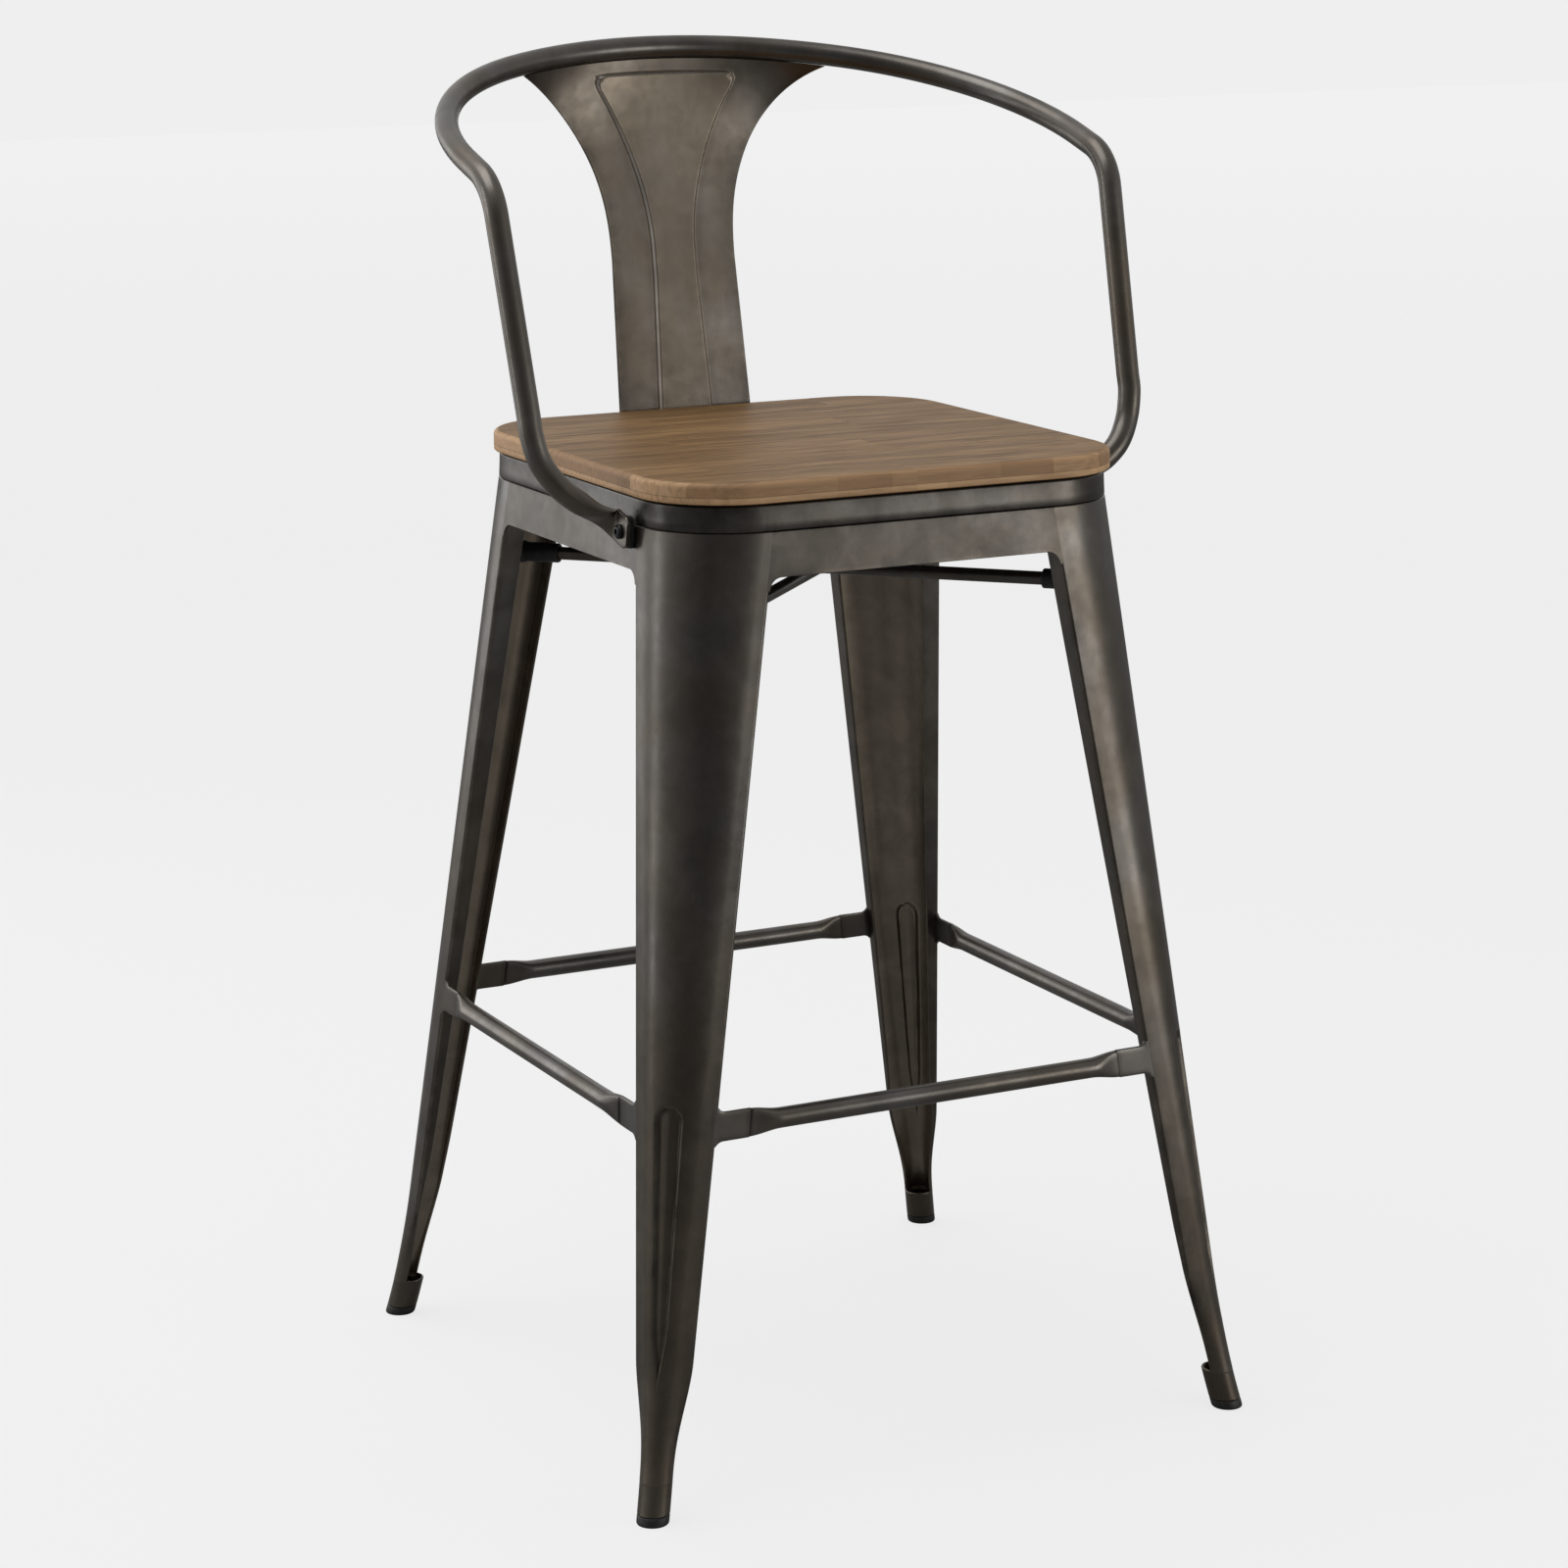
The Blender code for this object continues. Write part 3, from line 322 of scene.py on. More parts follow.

# %% [markdown]
# ## Gunmetal lacquer
#
# The steel is burnished, then sprayed with a smoky lacquer: brown in the middle of a panel,
# greyer where the light rakes it, and darker towards folds and cut edges, where the lacquer
# gathers. Where it is rubbed through, the burnished steel shows. The pieces carry three
# numbers on their points. The first says how near a fold or cut edge is, and it also carries
# painted shade: under the seat's overhang, on the pan's skirt and the front apron, just under
# the seam, down the legs' corners, in the tombstones' walls, beside the splat's panel and along
# the hoop's bow. `warm` says how brown the panel is. `pale` says how far the steel shows, and
# it also carries painted light: highlight lines along bends, edges, the tombstones' rims and
# the splat panel's wall, and lighter inner faces. The clouds break the first two up, so that
# no border looks drawn.

# %% Gunmetal
def new_finish(name):
    """A material, its tree, its shader and the object's own coordinates."""
    material = bpy.data.materials.new(name)
    material.use_nodes = True
    tree = material.node_tree
    place = add(tree, "ShaderNodeTexCoord").outputs["Object"]
    return material, tree, tree.nodes["Principled BSDF"], place


def gunmetal(name, seed):
    """Smoky lacquer over burnished steel. `seed` moves its clouds."""
    material, tree, shader, place = new_finish(name)
    cloud = use_group(tree, clouds, Vector=place, Size=8.5, Seed=seed)
    skin = use_group(tree, peel, Vector=place, Size=700.0)
    wear = use_group(tree, rubs, Vector=place, Amount=0.4)
    # Folds and cut edges, plus painted shade.
    fold = add(tree, "ShaderNodeAttribute", attribute_name="fold").outputs["Fac"]
    warm = add(tree, "ShaderNodeAttribute", attribute_name="warm").outputs["Fac"]
    grey = mixed(tree, cloud["Drift"], (0.122, 0.114, 0.108), (0.172, 0.162, 0.152))
    brown = mixed(tree, cloud["Drift"], (0.112, 0.089, 0.066), (0.158, 0.132, 0.103))
    uneven = maths(tree, "MULTIPLY", maths(tree, "SUBTRACT", cloud["Broad"], 0.5), 0.9)
    brownness = maths(tree, "ADD", warm, uneven, clamp=True)
    body = mixed(tree, brownness, grey, brown)
    # pale: worn steel, plus painted highlights and painted light on inner faces.
    pale = add(tree, "ShaderNodeAttribute", attribute_name="pale").outputs["Fac"]
    body = mixed(tree, pale, body, (0.40, 0.335, 0.262))
    body = mixed(tree, remap(tree, pale, 0.7, 1.0), body, (0.80, 0.74, 0.66))
    stained = mixed(tree, maths(tree, "MULTIPLY", cloud["Blotches"], 0.28), body, (0.070, 0.062, 0.047))
    # Towards near black by that number: lacquer at folds and edges, and painted shade.
    fold_and_shade_share = maths(tree, "MULTIPLY", fold, remap(tree, cloud["Blotches"], 0.0, 1.0, 0.55, 0.95))
    darkened = mixed(tree, fold_and_shade_share, stained, (0.040, 0.036, 0.032))
    rubbed = mixed(tree, maths(tree, "MULTIPLY", wear["Rub"], 0.5), darkened, (0.24, 0.22, 0.19))
    dust = maths(tree, "MULTIPLY", wear["Dust"], 0.35)
    tree.links.new(mixed(tree, dust, rubbed, (0.30, 0.28, 0.25)), shader.inputs["Base Color"])
    cloudy = remap(tree, cloud["Broad"], 0.0, 1.0, 0.30, 0.38)
    rough = maths(tree, "ADD", cloudy, maths(tree, "MULTIPLY", skin["Gloss"], 0.06))
    dulled = maths(tree, "MULTIPLY", wear["Dust"], 0.2)
    tree.links.new(maths(tree, "ADD", rough, dulled), shader.inputs["Roughness"])
    bump = add(tree, "ShaderNodeBump", {"Height": skin["Height"], "Distance": 0.00006, "Strength": 0.5})
    tree.links.new(bump.outputs[0], shader.inputs["Normal"])
    shader.inputs["Metallic"].default_value = 0.93
    shader.inputs["Coat Weight"].default_value = 0.15
    shader.inputs["Coat Roughness"].default_value = 0.28
    return material


LEG_STEEL = gunmetal("gunmetal leg", 3.0)
PANEL_STEEL = gunmetal("gunmetal panel", 11.0)
TUBE_STEEL = gunmetal("gunmetal tube", 7.0)
print("finishes:", LEG_STEEL.name, PANEL_STEEL.name, TUBE_STEEL.name)

# %% [markdown]
# ## Black parts
#
# The glides, sleeves and pads are moulded plastic with a fine grain. The bolts, nuts and
# screws are black oxide: darker in the recesses, brighter where a tool has rubbed them.

# %% Plastic and black oxide
def black_finish(name, low, high, rough, metallic, size, depth):
    """A black between two colours, with a grain of that size and depth."""
    material, tree, shader, place = new_finish(name)
    cloud = use_group(tree, clouds, Vector=place, Size=60.0, Seed=5.0)
    skin = use_group(tree, peel, Vector=place, Size=size)
    wear = use_group(tree, rubs, Vector=place, Amount=1.0)
    body = mixed(tree, cloud["Blotches"], low, high)
    rubbed = mixed(tree, maths(tree, "MULTIPLY", wear["Rub"], 0.6), body, tuple(4 * x + 0.03 for x in high))
    dust = maths(tree, "MULTIPLY", wear["Dust"], 0.3)
    tree.links.new(mixed(tree, dust, rubbed, (0.16, 0.15, 0.14)), shader.inputs["Base Color"])
    gloss = maths(tree, "MULTIPLY", skin["Gloss"], 0.12)
    tree.links.new(maths(tree, "ADD", gloss, rough), shader.inputs["Roughness"])
    bump = add(tree, "ShaderNodeBump", {"Height": skin["Height"], "Distance": depth, "Strength": 0.6})
    tree.links.new(bump.outputs[0], shader.inputs["Normal"])
    shader.inputs["Metallic"].default_value = metallic
    return material


low, high = (0.010, 0.010, 0.010), (0.022, 0.021, 0.021)
PLASTIC = black_finish("black plastic", low, high, 0.50, 0.0, 1600.0, 0.00010)
low, high = (0.014, 0.014, 0.015), (0.040, 0.039, 0.040)
OXIDE = black_finish("black oxide", low, high, 0.36, 0.7, 1100.0, 0.00004)
print("finishes:", PLASTIC.name, OXIDE.name)

# %% [markdown]
# ## Stained wood
#
# The seat is a board of glued strips under a brown stain. On top the grain runs from side to
# side in fine dark streaks. Round the edge the stain takes differently on each block of
# timber, and the lowest ply is paler and more orange. `edge` is 1 on the board's side and 0
# on its top and underside.

# %% Strips and blocks
def cell(tree, value, start, width):
    """Which stretch of that width the value lies in, counted from start."""
    return maths(tree, "FLOOR", maths(tree, "MULTIPLY", maths(tree, "SUBTRACT", value, start), 1 / width))


def one_tone(tree, *cells):
    """A random number from 0 to 1 for each cell."""
    return add(tree, "ShaderNodeTexWhiteNoise", {0: combined(tree, *cells)}).outputs["Value"]


# %% Wood
PLY_LINE = WOOD_BOTTOM + 0.0052
material, tree, shader, place = new_finish("stained wood")
x, y, z = add(tree, "ShaderNodeSeparateXYZ", {0: place}).outputs
edge = add(tree, "ShaderNodeAttribute", attribute_name="edge").outputs["Fac"]
strip = cell(tree, y, -0.2, 0.0565)
shifted = maths(tree, "ADD", x, maths(tree, "MULTIPLY", strip, 0.137))
strip_tone = one_tone(tree, strip, cell(tree, shifted, 0.0, 0.31))
waves = maths(tree, "MULTIPLY", noise(tree, stretched(tree, place, (5, 9, 9)), 1.0, 2.0), 0.012)
wavy = vector_sum(tree, place, combined(tree, 0.0, waves, maths(tree, "MULTIPLY", strip_tone, 0.4)))
streak = noise(tree, stretched(tree, wavy, (15, 330, 200)), 1.0, 5.0, 0.66)
pore = noise(tree, stretched(tree, wavy, (28, 1500, 900)), 1.0, 3.0, 0.7)
figure = noise(tree, stretched(tree, wavy, (2.2, 38, 30)), 1.0, 3.0, 0.5, 0.8)
base = mixed(tree, remap(tree, figure, 0.36, 0.62), (0.218, 0.122, 0.049), (0.366, 0.216, 0.094))
toned = mixed(tree, maths(tree, "MULTIPLY", strip_tone, 0.35), base, (0.240, 0.142, 0.064))
streaky = mixed(tree, remap(tree, streak, 0.42, 0.64, 0.0, 0.76), toned, (0.110, 0.062, 0.029))
top = mixed(tree, remap(tree, pore, 0.57, 0.70, 0.0, 0.75), streaky, (0.055, 0.031, 0.016))
blocks = cell(tree, x, -0.021, 0.046), cell(tree, y, 0.0, 0.058), cell(tree, z, PLY_LINE, 0.02)
side_tone = one_tone(tree, *blocks)
# The side's colours are nearly twice as light as the top's: painted light that makes up for the dim light on
# the board's edge.
side = mixed(tree, remap(tree, side_tone, 0.15, 0.85), (0.400, 0.236, 0.125), (0.640, 0.400, 0.220))
low_ply = remap(tree, z, PLY_LINE - 0.0006, PLY_LINE + 0.0004, 0.6, 0.0)
plied = mixed(tree, low_ply, side, (0.800, 0.510, 0.275))
side_streak = mixed(tree, remap(tree, streak, 0.44, 0.72, 0.0, 0.6), plied, (0.250, 0.148, 0.077))
glue = maths(tree, "COMPARE", z, PLY_LINE)
glue.node.inputs[2].default_value = 0.00022
lit_side = mixed(tree, maths(tree, "MULTIPLY", glue, 0.55), side_streak, (0.05, 0.03, 0.018))
tree.links.new(mixed(tree, edge, top, lit_side), shader.inputs["Base Color"])
tree.links.new(remap(tree, streak, 0.40, 0.72, 0.46, 0.62), shader.inputs["Roughness"])
relief = maths(tree, "ADD", maths(tree, "MULTIPLY", streak, 0.6), maths(tree, "MULTIPLY", pore, -0.7))
bump = add(tree, "ShaderNodeBump", {"Height": relief, "Distance": 0.00022, "Strength": 0.5})
tree.links.new(bump.outputs[0], shader.inputs["Normal"])
shader.inputs["Specular IOR Level"].default_value = 0.22
WOOD = material
print("finish:", WOOD.name)

# %% [markdown]
# ## The wooden seat
#
# A rounded square with a soft upper edge is a stack of rounded squares. Each ring is the
# same shape drawn in by some distance, so the corner's radius shrinks by that distance too.

# %% Rounded squares
def rounded_square(half, radius, z, corner_steps=14, side_steps=10):
    """For rows of half widths and corner radii: four quarter circles about the corners' centres,
    with the straight sides between them divided evenly."""
    half, radius, z = (np.asarray(v, float)[:, None] for v in (half, radius, z))
    turn = np.linspace(0, pi / 2, corner_steps + 1)[None, :]
    reach = half - radius
    x, y = reach + radius * np.cos(turn), reach + radius * np.sin(turn)
    share = np.linspace(0, 1, side_steps + 2)[1:-1][None, :]
    straight_x, straight_y = reach - 2 * reach * share, half + 0 * share
    x, y = np.concatenate([x, straight_x], 1), np.concatenate([y, straight_y], 1)
    x, y = np.concatenate([x, -y, -x, y], 1), np.concatenate([y, x, -y, -x], 1)
    return np.stack([x, y, z + 0 * x], -1)


# %% The board
round_up = np.linspace(0, pi / 2, 8)
WOOD_ROUND, WOOD_CORNER = 0.0040, 0.0706
inset = np.concatenate([
    [0.12, 0.05, 0.0008, 0.0], np.zeros(4), WOOD_ROUND * (1 - np.cos(round_up)), [0.012, 0.035, 0.075, 0.12],
])
level = np.concatenate([
    [0, 0, 0, 0.0008], np.linspace(0.003, 0.0105, 4),
    0.016 - WOOD_ROUND * (1 - np.sin(round_up)), [0.016] * 4,
])
rings = rounded_square(SEAT_HALF - inset, np.maximum(WOOD_CORNER - inset, 0.004), WOOD_BOTTOM + level)
board = ring_body("seat_board", rings, crease=60)
on_side = np.concatenate([[0, 0, 0, 1], np.ones(4), np.cos(round_up) ** 0.5, np.zeros(4)])
marks = np.concatenate([np.repeat(on_side, rings.shape[1]), [0, 0]])
dress(board, WOOD, "stained_wood", "wood_seat", edge=marks)
print("seat board:", len(board.data.polygons), "faces")

# %% [markdown]
# ## The pan
#
# The pan is pressed from sheet: a flat top, a soft edge and a skirt that spreads a little. Its
# tongue goes on down inside the frame. Seen from below it is hollow, so the loft follows the
# outside down, turns under, and comes back up inside.

# %% The pan's profile
LAP_HALF = SEAM_HALF - SHEET - 0.0009
bend = np.linspace(0, pi / 2, 7)
down = [(0.10, 0), (0.16, 0)] + [(0.1936 - 0.0022 * (1 - sin(a)), -0.0022 * (1 - cos(a))) for a in bend]
down += [(0.1937, -0.006), (0.1940, -0.013), (0.1943, -0.0188), (0.1939, -0.0196)]
down += [(LAP_HALF + 0.0004, -0.0198), (LAP_HALF, -0.0203), (LAP_HALF, -0.0375), (LAP_HALF - 0.0007, -0.038)]
down += [(LAP_HALF - 0.0015, -0.0375), (LAP_HALF - 0.0015, -0.004)]
down += [(LAP_HALF - 0.004, -0.0015), (0.16, -0.0015), (0.10, -0.0015)]
half, drop = np.array(down).T
rings = rounded_square(half, np.maximum(0.069 - (SEAM_HALF - half), 0.006), PAN_TOP + drop, side_steps=14)
pan = ring_body("seat_pan_pressed", rings, crease=50)
# Painted shadow: a dark band along the pan's top, under the wood's overhang. The band lower down marks the
# seam.
shadow_under_wood = 0.8 * np.exp(-np.abs(drop + 0.0002) / 0.004)
lower_line = 0.7 * np.exp(-np.abs(drop + 0.0195) / 0.0022)
shade_and_seam = np.where(half > 0.19, shadow_under_wood + lower_line, 0.1)
# Darker towards the corners.
corner = ease(0.12, 0.185, np.minimum(np.abs(rings[..., 0]), np.abs(rings[..., 1])))
# Painted shade on the skirt, under the wood's overhang, strongest on the left and right sides.
sides = 0.75 + 0.25 * ease(0.165, 0.19, np.abs(rings[..., 0]))
fold = np.clip(shade_and_seam[:, None] + 0.55 * corner + 0.6 * sides * (half > 0.192)[:, None], 0, 1).ravel()
marks = np.append(fold, [0, 0])
dress(pan, PANEL_STEEL, "gunmetal_steel", "seat_pan", fold=marks, warm=0.35 + 0 * marks)
print("pan:", len(pan.data.polygons), "faces")

# %% [markdown]
# ## The legs
#
# A leg is one sheet, folded round a big soft corner, with a lip turned in along each edge.
# Across, its line is made of straight runs and arcs. Along its height each of those changes
# by a simple law, so a whole leg is one function of two things: the height, and how far along
# the line. Near the floor the line closes into part of a circle, to meet the foot's ring.
#
# A long tombstone is pressed into the corner above the foot, with a faint ridge down its
# middle. It is a depth that depends on the distance inside the tombstone's outline.

# %% A leg's lines
LEG_TOP_WIDTH, FOOT_DIAMETER, BEND = 0.0778, 0.025, 0.0026
FOOT_R = FOOT_DIAMETER / 2
STRAIGHT_FOOT = 0.2592
LEG_SLOPE = (STRAIGHT_FOOT - SEAM_HALF) / SEAM


def leg_half(z):
    """Out to the leg's face: a straight line, plus a kick of (1 - z / 0.1) squared near the floor."""
    return STRAIGHT_FOOT - LEG_SLOPE * z + 0.0068 * np.maximum(1 - z / 0.10, 0) ** 2


def leg_width(z):
    """The flange's width, which grows in a straight line from the foot's diameter."""
    return FOOT_DIAMETER + (LEG_TOP_WIDTH - FOOT_DIAMETER) * z / SEAM


def leg_edge(z):
    """From the centre plane to the flange's edge."""
    return leg_half(z) - leg_width(z)


def leg_corner(z):
    """The corner's radius: the foot's own, growing in a straight line to 69 mm at the seam."""
    return FOOT_R + (0.069 - FOOT_R) * np.maximum(z - 0.04, 0) / (SEAM - 0.04)


def leg_lip(z):
    """The lip's depth: 18.5 mm at the top, falling as the 0.6th power of height, faded out above the
    foot and behind the aprons."""
    lip = 0.0185 * (z / SEAM) ** 0.6
    shown = ease(0.085, 0.16, z) * (1 - ease(APRON_BOTTOM - 0.001, APRON_BOTTOM + 0.003, z))
    return 0.0028 + (lip - 0.0028) * shown


# %% A leg's section, all heights at once
def leg_grid(z):
    """Rows of points and outward normals, for the +X +Y corner: lip, bend, flange, corner, flange,
    bend, lip."""
    z = np.asarray(z, float)[:, None]
    half, width, corner, lip = leg_half(z), leg_width(z), leg_corner(z), leg_lip(z)
    t = np.linspace(0, 1, 7)[None, :-1]
    run = np.linspace(0, 1, 15)[None, 1:-1]
    parts = [(half - width + 0 * t, half - lip + (lip - BEND) * t, pi + 0 * t)]
    a = np.linspace(pi, pi / 2, 8)[None, :]
    parts.append((half - width + BEND + BEND * np.cos(a), half - BEND + BEND * np.sin(a), a))
    parts.append((half - width + BEND + (width - BEND - corner) * run, half + 0 * run, pi / 2 + 0 * run))
    a = np.linspace(pi / 2, pi / 4, 33)[None, :]
    parts.append((half - corner + corner * np.cos(a), half - corner + corner * np.sin(a), a))
    x = np.concatenate([p[0] for p in parts], 1)
    y = np.concatenate([p[1] for p in parts], 1)
    a = np.concatenate([p[2] + 0 * z for p in parts], 1)
    x, y, a = (np.concatenate([u, v[:, -2::-1]], 1) for u, v in ((x, y), (y, x), (a, pi / 2 - a)))
    step = np.hypot(np.diff(x, axis=1), np.diff(y, axis=1))
    gone = np.concatenate([0 * z, np.cumsum(step, 1)], 1)
    total = gone[:, -1:]
    round_angle = pi / 4 + radians(200) * (0.5 - gone / total)
    roundness = 1 - ease(0.034, 0.118, z)
    round_way = np.stack([np.cos(round_angle), np.sin(round_angle)], -1)
    arc = (half - FOOT_R)[..., None] + FOOT_R * round_way
    place = (1 - roundness)[..., None] * np.stack([x, y], -1) + roundness[..., None] * arc
    normal = (1 - roundness)[..., None] * np.stack([np.cos(a), np.sin(a)], -1)
    normal = unit(normal + roundness[..., None] * round_way)
    return place, normal, gone - total / 2, total / 2


# %% The pressed tombstone
def tombstone(across, z):
    """How far inside the outline a point is: a half circle of 11.5 mm about z = 0.298, sides that
    close in slowly to z = 0.14, then a point at z = 0.098."""
    slow = 0.0065 + 0.0050 * np.clip((z - 0.14) / 0.158, 0, 1)
    side = slow * ease(0.094, 0.150, z)
    below = side - np.abs(across)
    above = 0.0115 - np.hypot(across, z - 0.298)
    return np.where(z > 0.298, above, np.minimum(below, (z - 0.098) * 0.6))


def pressed_depth(across, z):
    """0 outside the outline, easing over 3 mm to 2.2 mm at the ridge and 3.4 mm beside the walls."""
    inside = tombstone(across, z)
    floor = 0.0022 + 0.0012 * np.clip(np.abs(across) / 0.008, 0, 1)
    return floor * ease(0.0, 0.0030, inside)


# %% Four legs
CORNERS = (("front_left", -1, -1), ("front_right", 1, -1), ("rear_left", -1, 1), ("rear_right", 1, 1))
tip_of_apron = APRON_BOTTOM - 0.006
heights = np.unique(np.concatenate([
    np.linspace(0.0288, 0.0310, 6), np.linspace(0.0320, 0.096, 22), np.linspace(0.096, 0.150, 28),
    np.linspace(0.150, 0.280, 28), np.linspace(0.280, 0.316, 22), np.linspace(0.316, 0.684, 36),
    np.linspace(0.688, SEAM - 0.0009, 12),
]))
place, normal, across, reach = leg_grid(heights)
depth = pressed_depth(across, heights[:, None])
tuck = 0.0006 * (1 - ease(0.0289, 0.0306, heights[:, None]))
outer_xy = place - normal * (depth + tuck)[..., None]
inner_xy = outer_xy - normal * SHEET
rise = np.repeat(heights[:, None], place.shape[1], 1)[..., None]
from_border = reach - np.abs(across)
from_bend = from_border - leg_lip(heights)[:, None]
below_apron = (1 - ease(0.680, 0.694, heights))[:, None]
edge_near = below_apron * (np.exp(-from_border / 0.009) + np.exp(-np.abs(from_bend) / 0.0045))
inside = tombstone(across, heights[:, None])
# Painted shade in the tombstone's walls.
wall = np.exp(-((inside - 0.0015) / 0.0022) ** 2) * 0.55
low_dark = 0.03 * (1 - ease(0.10, 0.36, heights[:, None])) * ease(0.05, 0.10, heights[:, None])
foot_clear = ease(0.036, 0.085, heights[:, None])
edge_dark = 0.45 * edge_near * (np.abs(across) > 0.02)
# Painted shade down the middle of the leg's rounded corner.
corner_shade = 0.20 * np.exp(-(across / 0.030) ** 2)
plain = np.clip(0.15 + foot_clear * (edge_dark + corner_shade) + low_dark, 0, 1)
fold_out = np.clip(plain + wall, 0, 1)
# Paler towards the bottom.
paler_low = 0.09 * (1 - ease(0.16, 0.40, heights))[:, None]
# A pale line along each bend: wear, and a painted highlight.
bend_wear_and_highlight = 0.55 * foot_clear * np.exp(-((from_bend + 0.0012) / 0.0009) ** 2)
# A painted highlight round the tombstone's rim.
rim_highlight = 0.5 * np.exp(-((inside - 0.0004) / 0.0006) ** 2)
paleness = paler_low + bend_wear_and_highlight * (heights[:, None] < tip_of_apron) + rim_highlight
for corner_name, sx, sy in CORNERS:
    flip = np.array([sx, sy, 1])
    outer = np.concatenate([outer_xy, rise], -1) * flip
    inner = np.concatenate([inner_xy, rise], -1) * flip
    leg = sheet_body("leg_sheet_" + corner_name, outer, inner)
    rim = len(leg.data.vertices) - 2 * fold_out.size
    fold = np.concatenate([fold_out.ravel(), 0.35 * plain.ravel(), np.full(rim, 0.4)])
    # The inner faces are paler: painted light inside the channel. The rims are worn paler.
    pale = np.concatenate([paleness.ravel(), np.full(fold_out.size, 0.70), np.full(rim, 0.6)])
    warm_out = 0.35 + 0.5 * (1 - ease(0.15, 0.62, heights))[:, None] + 0 * across
    warm = np.concatenate([warm_out.ravel(), np.full(fold_out.size, 1.0), np.full(rim, 0.5)])
    dress(leg, LEG_STEEL, "gunmetal_steel", "leg_" + corner_name, fold=fold, warm=warm, pale=pale)
print("legs:", len(leg.data.polygons), "faces each, sheet", SHEET)

# %% [markdown]
# ## The foot rings and glides
#
# The foot is a short tube that leans with the leg, with a black glide pushed in from below.
# Both are rings that follow the same leaning centre line.

# %% Rings and glides
def leaning_rings(profile, sx, sy, sides=40):
    """A level circle for each (radius, height), about the foot's centre line at that height."""
    radius, z = np.asarray(profile, float).T
    angle = 2 * pi * np.arange(sides) / sides
    centre = (leg_half(z) - FOOT_R)[:, None]
    x = sx * centre + radius[:, None] * np.cos(angle)
    y = sy * centre + radius[:, None] * np.sin(angle)
    return np.stack([x, y, z[:, None] + 0 * x], -1)


ring_out, ring_in = FOOT_R - 0.0001, FOOT_R - SHEET - 0.0003
collar = [(ring_out - 0.0005, 0.0073)]
collar += [(ring_out, h) for h in (0.0078, 0.0084, 0.012, 0.020, 0.027, 0.0296, 0.0306, 0.0312)]
collar += [(ring_out - 0.0005, 0.0319), (ring_out - 0.0011, 0.0321), (ring_in + 0.0005, 0.0319)]
collar += [(ring_in, 0.0312), (ring_in, 0.022), (ring_in, 0.0078), (ring_in + 0.0005, 0.0073)]
glide = [(0.0098, 0.0006), (0.0108, 0.0002), (0.0112, 0.0), (0.0118, 0.0002), (0.01225, 0.0008)]
glide += [(0.0124, 0.0018), (0.0124, 0.0062), (0.0122, 0.0068), (0.0118, 0.0070)]
glide += [(0.0093, 0.0070), (0.0093, 0.0195), (0.0085, 0.0210)]
for corner_name, sx, sy in CORNERS:
    rings = leaning_rings(collar, sx, sy)
    cols = rings.shape[1]
    wrapped = np.concatenate([rings, rings[:1]])
    quads = np.mod(grid_quads(len(wrapped), cols, around=True), len(rings) * cols)
    foot = closed_mesh("foot_ring_" + corner_name, rings.reshape(-1, 3), quads, crease=50)
    count = len(foot.data.vertices)
    dress(foot, LEG_STEEL, "gunmetal_steel", fold=np.full(count, 0.15), warm=np.full(count, 0.85))
    sole = ring_body("glide_" + corner_name, leaning_rings(glide, sx, sy), crease=45)
    dress(sole, PLASTIC, "black_plastic", "foot_glide_" + corner_name)
print("feet: 4 rings and 4 glides")

# %% [markdown]
# ## The aprons
#
# An apron is a leaning plate, flush with the legs' faces. Its lower edge is straight in the
# middle and sweeps down in a small quarter circle at each end. The weld between plate and leg
# is ground flat, so the plate's ends feather out over the leg's bend.

# %% Four turns about the upright axis
SIDES = {"front": (1, 0), "right": (0, 1), "rear": (-1, 0), "left": (0, -1)}


def quarter_turned(points, side):
    """The front's points turned about Z onto another side: SIDES holds each turn's cosine and sine."""
    c, s = SIDES[side]
    return points @ np.array([[c, s, 0], [-s, c, 0], [0, 0, 1]])


def bend_dip(u, edge):
    """How far the leg's rounded bend falls back from its face, u from the centre plane: R minus the
    height of a circle of radius R."""
    t = np.clip(u - edge, 0, BEND)
    return BEND - np.sqrt(np.maximum(BEND**2 - (BEND - t) ** 2, 0))


# %% The plate
FILLET = 0.0095
tip = APRON_BOTTOM - FILLET
edge_at_tip = leg_edge(tip)
bow = np.linspace(0, pi / 2, 14)
u_fillet = (edge_at_tip - FILLET) + FILLET * np.sin(bow)
z_fillet = tip + FILLET * np.cos(bow)
u_straight, u_feather = np.linspace(0, edge_at_tip - FILLET, 16)[:-1], BEND * np.linspace(0.15, 1, 7)
u_low = np.concatenate([u_straight, u_fillet, edge_at_tip + u_feather])
z_low = np.concatenate([np.full(15, APRON_BOTTOM), z_fillet, np.full(7, tip - 0.0006)])
u_low, z_low = np.concatenate([-u_low[:0:-1], u_low]), np.concatenate([z_low[:0:-1], z_low])
share = np.linspace(0, 1, 16)[:, None] ** 0.9
z = z_low + (SEAM - 0.0009 - z_low) * share
u = u_low * (leg_edge(z) + BEND) / (edge_at_tip + BEND)
face = leg_half(z)
thick = np.where(np.abs(u) > leg_edge(z), np.minimum(bend_dip(np.abs(u), leg_edge(z)), SHEET), SHEET)
outer = np.stack([u, -face, z], -1)
inner = np.stack([u, -face + np.maximum(thick, 0.00004), z], -1)
below = np.exp(-(z - z_low) / 0.0022) * (np.abs(u) < edge_at_tip - 0.001)
# Painted shade just under the seam, where the pan's lap overhangs.
above = np.exp(-(SEAM - z) / 0.0022)
fold_face = np.clip(0.50 + 0.4 * below + 0.35 * above, 0, 1)
